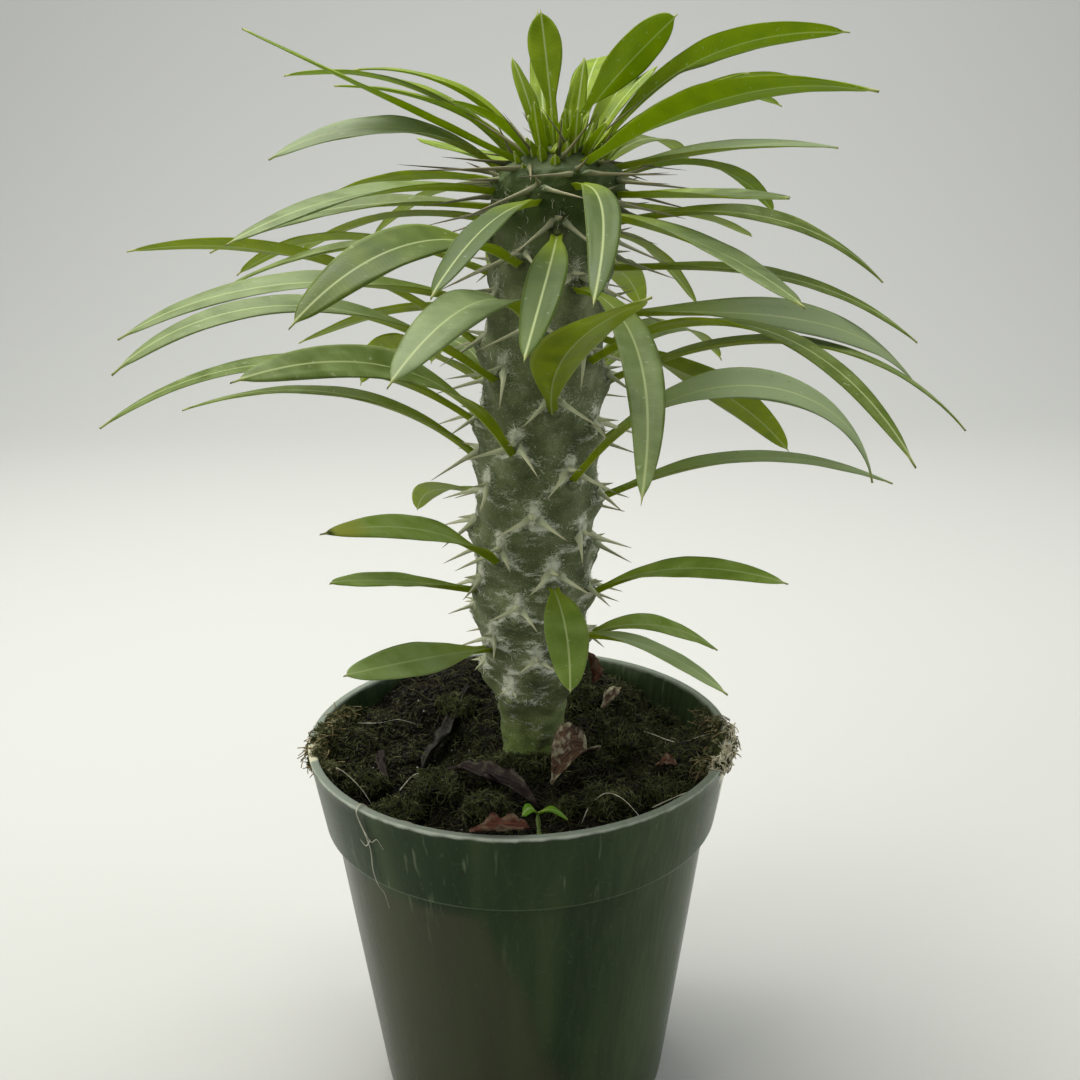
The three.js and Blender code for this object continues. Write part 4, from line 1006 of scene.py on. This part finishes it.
def leaf_material(name, upper_stops, lower_stops, bloom_and_sheen, shine, through):
    """Living leaf: a waxy upper side with painted sheen and shade, a yellow green underside and light through
    it, a pale midrib.
    """
    material, tree = new_material(name)
    where = add(tree, "ShaderNodeTexCoord")["Object"]
    blade = add(tree, "ShaderNodeAttribute", attribute_name="blade")["Vector"]
    from_rib, reach, aside = add(tree, "ShaderNodeSeparateXYZ", (blade,))
    along, upper, tone, worn = [
        add(tree, "ShaderNodeAttribute", attribute_name=label)["Fac"]
        for label in ("along", "upper", "tone", "worn")]
    mottle, flecks = [
        add(tree, "ShaderNodeTexNoise", {"Vector": where, "Scale": scale, "Detail": detail})["Fac"]
        for scale, detail in ((160.0, 5.0), (700.0, 3.0))]
    above, below = [
        ramp(add(tree, "ShaderNodeValToRGB", (mottle,)), *stops) for stops in (upper_stops, lower_stops)]
    # the pale bloom is partly wax, thick on some leaves and rubbed off others, and partly a painted sheen;
    # a dark green coat is painted shade on leaves under the crown; and the foot of a leaf is fresh green
    wax_and_sheen = add(tree, "ShaderNodeMath", (tone, mottle), operation="ADD")[0]
    above = coated(
        tree, above, ("#8d9c79", (wax_and_sheen, 0.5, 1.5, 0.0, bloom_and_sheen)), ("#3c4e2b", (tone, 0.0, -1.0, 0.0, 0.9)),
        ("#869a1a", (along, 0.05, 0.45, 0.9, 0.0)))
    colour = add(tree, "ShaderNodeMix", {0: upper, 6: below, 7: above}, data_type="RGBA")[2]
    # side veins leave the midrib every 1.2 mm at a steep angle
    from_rib = add(tree, "ShaderNodeMath", (from_rib,), operation="ABSOLUTE")[0]
    vein = add(tree, "ShaderNodeMath", (from_rib, -0.45, reach), operation="MULTIPLY_ADD")[0]
    for operation, other in (("MULTIPLY", 5236.0), ("SINE", 0.0)):
        vein = add(tree, "ShaderNodeMath", (vein, other), operation=operation)[0]
    vein = add(tree, "ShaderNodeMapRange", (vein, 0.75, 1.0, 0.0, 0.14))[0]
    ends = add(tree, "ShaderNodeMath", (mottle, 0.2, along), operation="MULTIPLY_ADD")[0]
    colour = coated(
        tree, colour,
        # small water marks and dark flecks, then the veins, the midrib and the margins
        ("#c6ccae", (flecks, 0.66, 0.74, 0.0, 0.35)), ("#3c4a16", (flecks, 0.34, 0.27, 0.0, 0.4)),
        ("#93a352", vein), ("#b0bb84", (from_rib, 0.0001, 0.0003, 0.75, 0.0)),
        ("#a3b06a", (aside, 0.94, 0.99, 0.0, 0.35)),
        # a worn tip has yellowed and then dried dark, and every leaf ends in a pale point
        ("#8d9440", (ends, 0.9, 1.0, 0.0, worn)), ("#1c2113", (ends, 1.02, 1.06, 0.0, worn)),
        ("#a5a56e", (along, 0.965, 0.98, 0.0, 0.7)))
    rough = add(tree, "ShaderNodeMapRange", (mottle, 0.3, 0.7, 0.42, 0.54))[0]
    relief = add(tree, "ShaderNodeMath", (vein, -0.5, mottle), operation="MULTIPLY_ADD")[0]
    relief = add(tree, "ShaderNodeBump", {"Strength": 0.2, "Distance": 0.0003, "Height": relief})[0]
    shader = add(tree, "ShaderNodeBsdfPrincipled", {
        "Base Color": colour, "Roughness": rough, "Normal": relief, "IOR": 1.42,
        "Specular IOR Level": shine})[0]
    glow = add(tree, "ShaderNodeMix", {0: 0.75, 6: colour, 7: linear(through)}, data_type="RGBA")[2]
    glow = add(tree, "ShaderNodeBsdfTranslucent", {"Color": glow})[0]
    shader = add(tree, "ShaderNodeMixShader", (0.36, shader, glow))[0]
    add(tree, "ShaderNodeOutputMaterial", {"Surface": shader})
    return material


leaf_below = [(0.3, "#667604"), (0.7, "#86940c")]
old_leaf = leaf_material(
    "waxy strap leaf", [(0.3, "#445519"), (0.55, "#596927"), (0.8, "#717f3d")], leaf_below,
    0.85, 0.2, "#b8cc06")
low_leaf = leaf_material(
    "low strap leaf", [(0.3, "#678028"), (0.55, "#849c46"), (0.8, "#9eb164")], leaf_below,
    0.75, 0.18, "#b8cc06")
young_leaf = leaf_material(
    "young strap leaf", [(0.3, "#5a7005"), (0.7, "#7d920c")], [(0.3, "#566c06"), (0.7, "#76880a")],
    0.1, 0.12, "#c0d604")

# leaves that are broadest near the tip
BROAD_TIP = {102: 2.2, 111: 2.8, 21: 1.0}
# how waxy and how lit: 1 is pale grey green, wax with a painted sheen, 0 plain green, and -1 a dark green
# that is painted shade on a leaf under the crown
WAX_SHEEN_AND_SHADE = {
    7: 0.05, 8: 0.6, 10: 1.0, 18: -0.55, 28: 1.2, 31: 1.1, 32: 0.1, 34: 0.25, 37: 0.2, 39: 0.0, 41: 0.1,
    42: 0.5, 44: 0.0, 45: 0.0, 46: 0.0, 47: 0.6, 48: 0.0, 49: 1.2, 50: 0.55, 52: 0.35, 54: 0.0, 55: -0.3,
    59: 0.0, 60: -0.75, 61: 0.05, 62: 0.0, 65: 0.45, 66: 0.45, 67: 0.0, 68: -0.9, 71: 0.5, 73: -0.75, 75: 0.0,
    79: 1.2, 83: 1.2,
}
# bumps below LOW carry the palest leaves, and two leaves of the growing tip have greyed like older ones
LOW, GREYED = 30, {79, 83}
# how far a leaf's tip has dried
WORN = {21: 1.0, 39: 0.4}
tones = np.random.default_rng(4)
blades = []
for bump, turn, sweep, rise, fall, bend, length, width, roll in LEAVES:
    blade = leaf_line(f"blade_{bump:02d}", bump, turn, sweep, rise, fall, bend, length, roll)
    material = low_leaf if bump < LOW else old_leaf if bump < YOUNG or bump in GREYED else young_leaf
    grow(blade, blade_tree, Width=width * MM, Stalk=0.0028, Fold_at_base=25.0, Fold_at_tip=-5.0, Rib=0.0008,
         Edge=0.0005, Wave=0.0014, Widest=BROAD_TIP.get(bump, 1.2), Seed=bump * 1.7,
         Tone=WAX_SHEEN_AND_SHADE.get(bump, tones.uniform(-0.15, 0.35)), Worn=WORN.get(bump, 0.0), Material=material)
    blades.append((blade, bump))

# bud scales: the bumps without a grown leaf, then the ones that close over the very top
BUDS = [(bump, None, 66, 80, 4) for bump in (76, 78, 81, 84, 89, 91, 94, 97, 108)]
BUDS += [(112 + k, 157.6 + 0.12 * k, 50 + 2 * k, 60 + 1.5 * k, 8) for k in range(18)]
for bump, height, rise, fall, length in BUDS:
    blade = leaf_line(f"bud_{bump:02d}", bump, 0, 0, rise, fall, 1, length, 0, height)
    grow(blade, blade_tree, Width=0.0026, Stalk=0.0022, Fold_at_base=40.0, Fold_at_tip=25.0, Rib=0.0005,
         Edge=0.0004, Wave=0.001, Seed=bump * 1.7, Tone=0.0, Material=young_leaf)
    blades.append((blade, bump))
settle([blade for blade, _ in blades])
for blade, bump in blades:
    place(blade, "young_leaf" if bump >= YOUNG else "leaf", "crown" if bump >= YOUNG else f"leaf_{bump:02d}")


# ---------------------------------------------------------------- dead leaves and seedling
# Old leaves that fell from the palm and dried on the soil. They have curled lengthwise and wrinkled,
# and water has crusted one of them with lime. A weed seedling has come up near the front.

# how far a dead leaf lies above the soil, and where the seedling stands
LITTER_LIFT, SEEDLING = 0.9, (4, -39)


def rest_height(x, y):
    """What a dead leaf rests on: the pot's lip near the rim, and the soil everywhere else."""
    return POT_HEIGHT if math.hypot(x, y) > inner_radius(POT_HEIGHT) - 2 else soil_height(x, y)


def ground_line(name, x, y, heading, length, arch, twist=0.0, lift=LITTER_LIFT, hook=0.0):
    """The midrib of a small leaf that lies on the soil and arches over in one heading."""
    points, sides, ups = [], [], []
    for k in range(PATH_STEPS + 1):
        share = k / PATH_STEPS
        spot = Vector((x, y, 0)) + outward(heading) * length * share
        spot.z = rest_height(spot.x, spot.y) + lift + arch * math.sin(math.pi * share) + hook * share ** 4
        side = outward(heading + 90)
        side.rotate(Matrix.Rotation(math.radians(twist * share), 3, outward(heading)))
        points.append(spot)
        sides.append(side)
        ups.append(outward(heading).cross(side))
    return midrib(name, points, sides, ups)


def withered(name, stops, crust):
    """A dry leaf: streaked along its length, with darker veins, and some lime."""
    material, tree = new_material(name)
    where = add(tree, "ShaderNodeTexCoord")["Object"]
    blade = add(tree, "ShaderNodeAttribute", attribute_name="blade")["Vector"]
    fibre = add(tree, "ShaderNodeMapping", {"Vector": blade, "Scale": (2600, 180, 0)})[0]
    fibre = add(tree, "ShaderNodeTexNoise", {"Vector": fibre, "Scale": 1.0, "Detail": 4.0})["Fac"]
    colour = ramp(add(tree, "ShaderNodeValToRGB", (fibre,)), *stops)
    crumb = add(tree, "ShaderNodeTexNoise", {"Vector": where, "Scale": 420.0, "Detail": 5.0})["Fac"]
    aside = add(tree, "ShaderNodeSeparateXYZ", (blade,))["Z"]
    lime = add(tree, "ShaderNodeMath", (aside, 0.16, crumb), operation="MULTIPLY_ADD")[0]
    colour = coated(tree, colour, ("#a7a488", (lime, 0.57, 0.76, 0.0, crust)))
    rough = add(tree, "ShaderNodeMath", (crumb, fibre), operation="ADD")[0]
    relief = add(tree, "ShaderNodeBump", {"Strength": 0.8, "Distance": 0.0006, "Height": rough})[0]
    shader = add(tree, "ShaderNodeBsdfPrincipled", {
        "Base Color": colour, "Roughness": 0.7, "Normal": relief, "Specular IOR Level": 0.2})
    add(tree, "ShaderNodeOutputMaterial", {"Surface": shader[0]})
    return material


purple = withered("dry leaf, purple brown", [(0.3, "#140d0c"), (0.6, "#2b1f1d"), (0.85, "#4d3f39")], 0.12)
tan = withered("dry leaf, tan", [(0.3, "#271a12"), (0.55, "#4e382a"), (0.8, "#7d664c")], 0.85)
red = withered("dry leaf, red brown", [(0.3, "#29150e"), (0.6, "#532c1d"), (0.85, "#7c4c34")], 0.2)
grey = withered("dry leaf, grey", [(0.3, "#0e0d0c"), (0.6, "#1f1d19"), (0.85, "#39352d")], 0.06)

# name, node, x, y, heading, length, width, arch, curl, twist, hook, material
DEAD_LEAVES = [
    ("dead_leaf_long", "dead_leaf_purple", -20, -6, 50, 32, 6, 1.5, 45, 20, 0, purple),
    ("dead_leaf_curled", "dead_leaf_tan", 8, -18, 140, 16, 11, 5, 45, 40, 2, tan),
    ("dead_leaf_on_lip", "dead_leaf_red", -12, -54.2, 93, 14, 6, 0.5, 25, 10, 0, red),
    ("dead_leaf_strip", "dead_leaf_grey", -15, 32, -18, 38, 4.5, 0.5, 30, 40, 0, grey),
    ("dead_scrap_right", None, 36, -12, 60, 6, 3, 0.8, 30, 0, 1, red),
    ("dead_scrap_back", None, 24, 20, 150, 11, 4, 1, 30, 20, 1, tan),
    ("dead_scrap_left", None, -38, -2, 15, 12, 3, 0.6, 30, 60, 1, purple),
]
litter = []
for name, node, x, y, heading, length, width, arch, curl, twist, hook, material in DEAD_LEAVES:
    scrap = ground_line(name, x, y, heading, length, arch, twist, hook=hook)
    grow(scrap, blade_tree, Width=width * MM, Stalk=0.0012, Fold_at_base=curl, Fold_at_tip=curl + 10.0,
         Rib=0.0004, Edge=0.0004, Wave=0.008, Seed=x * 0.7, Material=material)
    litter.append((scrap, node))

# a dried leaf that still hangs from the lowest bumps
hanging = []
for k in range(PATH_STEPS + 1):
    share = k / PATH_STEPS
    hanging.append(stem_point(31 - 9 * share ** 1.4, 84 - 8 * share, 0.6 + 5.5 * share ** 0.7))
edge_on = [outward(200)] * len(hanging)
hung = midrib("dead_leaf_hanging", hanging, edge_on, [outward(110)] * len(hanging))
grow(hung, blade_tree, Width=0.0045, Stalk=0.001, Fold_at_base=30.0, Fold_at_tip=50.0, Rib=0.0003,
     Edge=0.0004, Wave=0.005, Seed=3.0, Material=red)
litter.append((hung, None))

# the seedling: two seed leaves on a short stalk
seed_leaf = leaf_material(
    "seedling leaf", [(0.3, "#4f7d14"), (0.7, "#74a824")],
    [(0.3, "#5d8a14"), (0.7, "#83b52a")], 0.0, 0.3, "#b9e01e")
for name, heading, length in (("seed_leaf_short", -70, 4), ("seed_leaf_long", 75, 7.5)):
    sprout = ground_line(name, *SEEDLING, heading, length, 1.5, lift=5.5, twist=-20.0)
    grow(sprout, blade_tree, Width=0.0036, Stalk=0.0008, Fold_at_base=25.0, Fold_at_tip=-5.0, Rib=0.0003,
         Edge=0.0005, Wave=0.001, Seed=float(length), Material=seed_leaf)
    litter.append((sprout, "seedling"))

# Follows a line with a round section that tapers, for stalks and roots.
tree, given = new_tree("root", [
    ("Radius", "Float", 0.0003), ("End", "Float", 0.4), ("Material", "Material", None)])
path = add(tree, "GeometryNodeMeshToCurve", (given["Geometry"],))[0]
path = add(tree, "GeometryNodeResampleCurve", {"Curve": path, "Count": 40})[0]
along = add(tree, "GeometryNodeSplineParameter")["Factor"]
thick = add(tree, "ShaderNodeMapRange", {0: along, 3: 1.0, 4: given["End"]})[0]
knots = add(tree, "ShaderNodeTexNoise", {"Scale": 500.0})["Fac"]
thick = add(tree, "ShaderNodeMath", (thick, knots), operation="MULTIPLY")[0]
round_profile = add(tree, "GeometryNodeCurvePrimitiveCircle", {
    "Resolution": 6, "Radius": given["Radius"]})[0]
root = add(tree, "GeometryNodeCurveToMesh", {
    0: path, 1: round_profile, "Scale": thick, "Fill Caps": True})[0]
root_tree = finish_tree(tree, root, given["Material"])


def smooth_line(name, corners):
    """A line that passes smoothly through a few corners, in millimetres."""
    corners = [Vector(c) for c in corners]
    corners = [2 * corners[0] - corners[1]] + corners + [2 * corners[-1] - corners[-2]]
    points = []
    for a, b, c, d in zip(corners, corners[1:], corners[2:], corners[3:]):
        for t in np.linspace(0, 1, 8, endpoint=False):
            points.append(0.5 * (2 * b + (c - a) * t + (2 * a - 5 * b + 4 * c - d) * t * t
                                 + (3 * b - a - 3 * c + d) * t ** 3))
    points.append(corners[-2])
    return open_line(name, points)


stalk_foot = soil_height(*SEEDLING)
stalk = smooth_line("seedling_stalk", [
    (4.4, -39, stalk_foot - 1), (4.2, -39.1, stalk_foot + 2.5), (*SEEDLING, stalk_foot + 5.6)])
grow(stalk, root_tree, Radius=0.0012, End=0.8, Material=seed_leaf)
litter.append((stalk, "seedling"))

settle([thing for thing, _ in litter])
for thing, node in litter:
    slot = "young_leaf" if node == "seedling" else "dead_leaf"
    place(thing, slot, *([node] if node else []))


# ---------------------------------------------------------------- moss and roots
# Clods of moss on the soil. At both sides of the pot the moss has climbed over the lip with a mat of
# old roots, which lime has crusted. Fine pale roots have crept out over the soil and the rim.

# x, y, height above the soil, three radii
CLODS = [
    (-22, -22, 0, 7, 6, 3.5), (-9, -33, 0.5, 7, 5, 3.2), (22, -31, 0.5, 7, 5, 3.2), (11, -29, 0, 4, 4, 2),
    (-31, -28, 0, 7, 6, 2.6), (3, -8, -0.5, 8, 3, 2),
    (42, 22, 1, 6, 4, 4), (-4, -6, -1, 5, 4, 2.5), (12, -2, -1, 4, 4, 2.5), (-40, -14, 0, 6, 5, 3),
    (38, -24, 0, 8, 6, 3), (30, 4, 0, 7, 6, 3), (-18, 24, 0, 7, 6, 3), (18, 26, 0, 8, 6, 4),
]
# turn from -Y, distance from the pot's axis, height, three radii
RIM_CLODS = [
    (-107, 52, 102.5, 3, 4, 2.5), (-99, 52.5, 103, 3, 4, 2.5), (-92, 54, 103.4, 3, 4, 2.4),
    (-85, 54.8, 103.4, 2.8, 4, 2.6), (-78, 55, 103, 2.5, 4, 2.6), (-71, 53, 102.6, 2.5, 3.5, 2.2),
    (67, 52, 102.8, 2, 3.5, 1.8), (75, 53.6, 103, 2.4, 4, 2.2), (83, 54.6, 103.4, 2.5, 4, 2.4),
    (91, 54.4, 103.4, 2.6, 4, 2.4), (100, 52.6, 103, 2.6, 4, 2.2),
]


def make_clods(name, clods):
    """Rough lumps at (x, y, z, three radii), in millimetres."""
    points, faces = [], []
    rows, around = 14, 26
    for x, y, z, *radii in clods:
        first = len(points)
        for k in range(1, rows):
            for j in range(around):
                tip, turn = math.pi * k / rows, 2 * math.pi * j / around
                way = Vector((math.sin(tip) * math.cos(turn), math.sin(tip) * math.sin(turn), -math.cos(tip)))
                rough = 1 + 0.45 * noise.turbulence(way * 1.6 + Vector((x, y, z)), 3, False) - 0.2
                points.append([at + part * radius * rough for at, part, radius in zip((x, y, z), way, radii)])
        faces += [tuple(first + n for n in face) for face in ring_faces(rows - 1, around)]
        low, high, last = len(points), len(points) + 1, first + (rows - 2) * around
        points += [(x, y, z - radii[2]), (x, y, z + radii[2])]
        for j in range(around):
            following = (j + 1) % around
            faces += [(first + following, first + j, low), (last + j, last + following, high)]
    lump = smooth_mesh(name, points, faces)
    set_attribute(lump.data, "moss", "FLOAT", [1.0] * len(points))
    lump.data.materials.append(peat)
    return lump


def on_rim(turn, far, z):
    """A place by its turn from -Y, its distance from the pot's axis and its height."""
    return (*(outward(turn) * far)[:2], z)


clods = make_clods("moss_clods", [(x, y, soil_height(x, y) + z, *radii) for x, y, z, *radii in CLODS])
rim_clods = make_clods("rim_moss", [(*on_rim(turn, far, z), *radii) for turn, far, z, *radii in RIM_CLODS])
# the outermost moss on the right has bleached
straw_clods = make_clods("bleached_moss", [
    (*on_rim(turn, far, z), 1.6, 2.4, 1.8) for turn, far, z in (
        (70, 56.2, 104), (76, 56.8, 103.6), (82, 57.2, 103.4), (88, 57, 103.6), (65, 55.9, 104.6))])

# Moss kept dark by the damp, roots and moss that lime has crusted or the sun has bleached, and live roots.
moss_dark = plain_material(
    "dark moss", [(0.3, "#292c1a"), (0.55, "#4d5232"), (0.8, "#8e906a")], 260, 0.85, 0.15)
root_mat = plain_material("dry root mat", [(0.3, "#3c3322"), (0.55, "#75684a"), (0.8, "#b5aa88")], 250, 0.85)
rim_lime = plain_material("limed moss", [(0.3, "#2c2f1b"), (0.5, "#6a6a4c"), (0.7, "#a5a286")], 200, 0.9)
pale_root = plain_material("pale live root", [(0.3, "#8f8c78"), (0.7, "#d2cfc0")], 300, 0.6)
straw_mat = plain_material(
    "bleached moss", [(0.3, "#75705a"), (0.55, "#b3ad94"), (0.8, "#dbd7c4")], 250, 0.85)
growths = []
# name, clods, density, length, thickness, tilt, seed, material. Crumbs have a size and no thickness or tilt.
for name, base, density, length, thickness, tilt, seed, material in (
        ("clod_moss", clods, 1.6e6, 0.0034, 0.00012, 1.6, 21, moss_dark),
        ("clod_crumbs", clods, 5e5, 0.0014, None, None, 22, crumb_peat),
        ("rim_strands", rim_clods, 2.4e6, 0.0026, 0.0001, 1.6, 23, moss_dark),
        ("rim_crumbs", rim_clods, 6e5, 0.0012, None, None, 25, rim_lime),
        ("rim_straw", straw_clods, 1.5e6, 0.0036, 0.00016, 1.6, 26, straw_mat),
        ("rim_roots", rim_clods, 2.2e5, 0.006, 0.00013, 0.6, 24, root_mat)):
    layer = new_object(name, base.data.copy())
    shared = {"Density": density, "Seed": seed, "Everywhere": 1.0, "Material": material}
    if thickness:
        grow(layer, strand_tree, Length=length, Thickness=thickness, Tilt=tilt, **shared)
    else:
        grow(layer, crumb_tree, Size=length, **shared)
    growths.append(layer)

# name, radius, and corners: turn from -Y, distance from the pot's axis, height
RIM_ROOTS = [
    ("root_over_lip", 0.22, [
        (-45, 49, 99), (-44, 53, 103), (-43.5, 55.8, 105.7), (-43, 57.7, 104.4), (-42, 56.5, 99),
        (-41, 55.6, 94), (-41.5, 54.8, 88), (-40.5, 54.3, 84), (-41, 51.9, 80), (-40, 51.4, 76)]),
    ("root_branch", 0.17, [(-42.4, 57, 101), (-40, 56.4, 97), (-37.5, 56.6, 98.5), (-36, 56.1, 96)]),
    ("root_twig", 0.18, [(-40, 56.4, 97.5), (-42, 56.1, 95), (-44, 56.2, 96)]),
]
# name, radius, and corners: x, y, height
SOIL_ROOTS = [
    ("root_arch", 0.2, [(15, -35, 96), (17, -34, 100), (21, -33, 103), (25, -37, 103.5), (29, -42, 101)]),
    ("root_left", 0.18, [(-50, -16, 103), (-46, -19, 103.5), (-41, -22, 100), (-38, -25, 97)]),
    ("root_right", 0.2, [(33, -30, 97), (39, -30, 100), (45, -28, 101.5), (51, -22, 104.5)]),
    ("root_ring", 0.18, [(-31, -22, 99), (-27, -19, 102), (-22, -22, 102), (-21, -28, 99)]),
    ("root_low", 0.18, [(-34, -33, 97), (-28, -36, 98), (-22, -40, 97), (-15, -43, 95)]),
    ("root_back", 0.2, [(30, 12, 99), (36, 4, 101), (43, -2, 101), (50, -4, 104)]),
    ("root_far_left", 0.15, [(-46, 14, 101), (-40, 15, 100.5), (-35, 19, 99.5), (-30, 19, 98)]),
]
# the knots take away from a root's thickness, so its section starts wider
KNOT_ALLOWANCE = 1.5
roots = [(name, radius, [on_rim(*corner) for corner in corners]) for name, radius, corners in RIM_ROOTS]
for name, radius, corners in roots + SOIL_ROOTS:
    root = smooth_line(name, corners)
    grow(root, root_tree, Radius=radius * MM * KNOT_ALLOWANCE, End=0.35, Material=pale_root)
    growths.append(root)
settle(growths)
for thing in [clods, rim_clods, straw_clods] + growths:
    place(thing, "soil")


# ---------------------------------------------------------------- floor, light and camera
# A pale sweep of paper to stand the pot on, bent up behind it. Broad soft lights hang over and
# beside the pot.

FLOOR_REACH, FLOOR_BEND_AT, FLOOR_BEND, FLOOR_TOP = 3000, 900, 700, 4000
floor_points = []
for x in (-FLOOR_REACH, FLOOR_REACH):
    floor_points += [(x, -FLOOR_REACH, 0), (x, FLOOR_BEND_AT, 0)]
    floor_points += [
        (x, FLOOR_BEND_AT + FLOOR_BEND * math.sin(t), FLOOR_BEND - FLOOR_BEND * math.cos(t))
        for t in np.linspace(0.1, math.pi / 2, 14)]
    floor_points.append((x, FLOOR_BEND_AT + FLOOR_BEND, FLOOR_TOP))
count = len(floor_points) // 2
floor_faces = [(k, k + 1, count + k + 1, count + k) for k in range(count - 1)]
floor = smooth_mesh("studio_floor", floor_points, floor_faces)
# Matt paper, pale grey.
paper, tree = new_material("matt paper")
shader = add(tree, "ShaderNodeBsdfPrincipled", {"Base Color": linear("#a2a3a0"), "Roughness": 0.95})
add(tree, "ShaderNodeOutputMaterial", {"Surface": shader[0]})
floor.data.materials.append(paper)

world = bpy.data.worlds.new("studio")
world.use_nodes = True
sky = world.node_tree.nodes["Background"].inputs
sky["Color"].default_value = linear("#eef0f0")
sky["Strength"].default_value = 0.34
bpy.context.scene.world = world
bpy.context.scene.view_settings.view_transform = "Standard"


def soft_light(name, spot, aim, width, height, power, colour):
    """A rectangular lamp that stands at a spot and aims at another, in metres and watts."""
    light = bpy.data.lights.new(name, "AREA")
    light.shape, light.size, light.size_y, light.energy = "RECTANGLE", width, height, power
    light.color = linear(colour)[:3]
    thing = new_object(name, light)
    thing.location = spot
    thing.rotation_euler = (Vector(aim) - Vector(spot)).to_track_quat("-Z", "Y").to_euler()


soft_light("overhead", (-0.2, 0.25, 1.0), (0, 0, 0.2), 0.7, 0.7, 14, "#fffdf5")
soft_light("window", (-0.75, -0.45, 0.55), (0, 0, 0.15), 0.5, 0.9, 5.6, "#fffcf2")
soft_light("strip", (0.8, -0.15, 0.4), (0, 0, 0.12), 0.25, 0.9, 3.2, "#ffffff")
soft_light("backdrop", (0, 0.5, 1.6), (0, 1.5, 0.4), 2.5, 0.4, 34, "#ffffff")

# the camera stands in front of the plant and a little above it, and looks down; degrees and metres
CAMERA_SPOT, YAW, PITCH, ROLL = (0, -0.2985, 0.2496), 1.18, 16.92, -0.64
camera_data = bpy.data.cameras.new("camera")
camera_data.sensor_width, camera_data.lens, camera_data.clip_start = 36, 40, 0.01
camera = new_object("camera", camera_data)
facing = Matrix.Rotation(math.radians(-YAW), 4, "Z") @ Matrix.Rotation(math.radians(90 - PITCH), 4, "X")
camera.matrix_world = Matrix.Translation(CAMERA_SPOT) @ facing @ Matrix.Rotation(math.radians(ROLL), 4, "Z")
bpy.context.scene.camera = camera
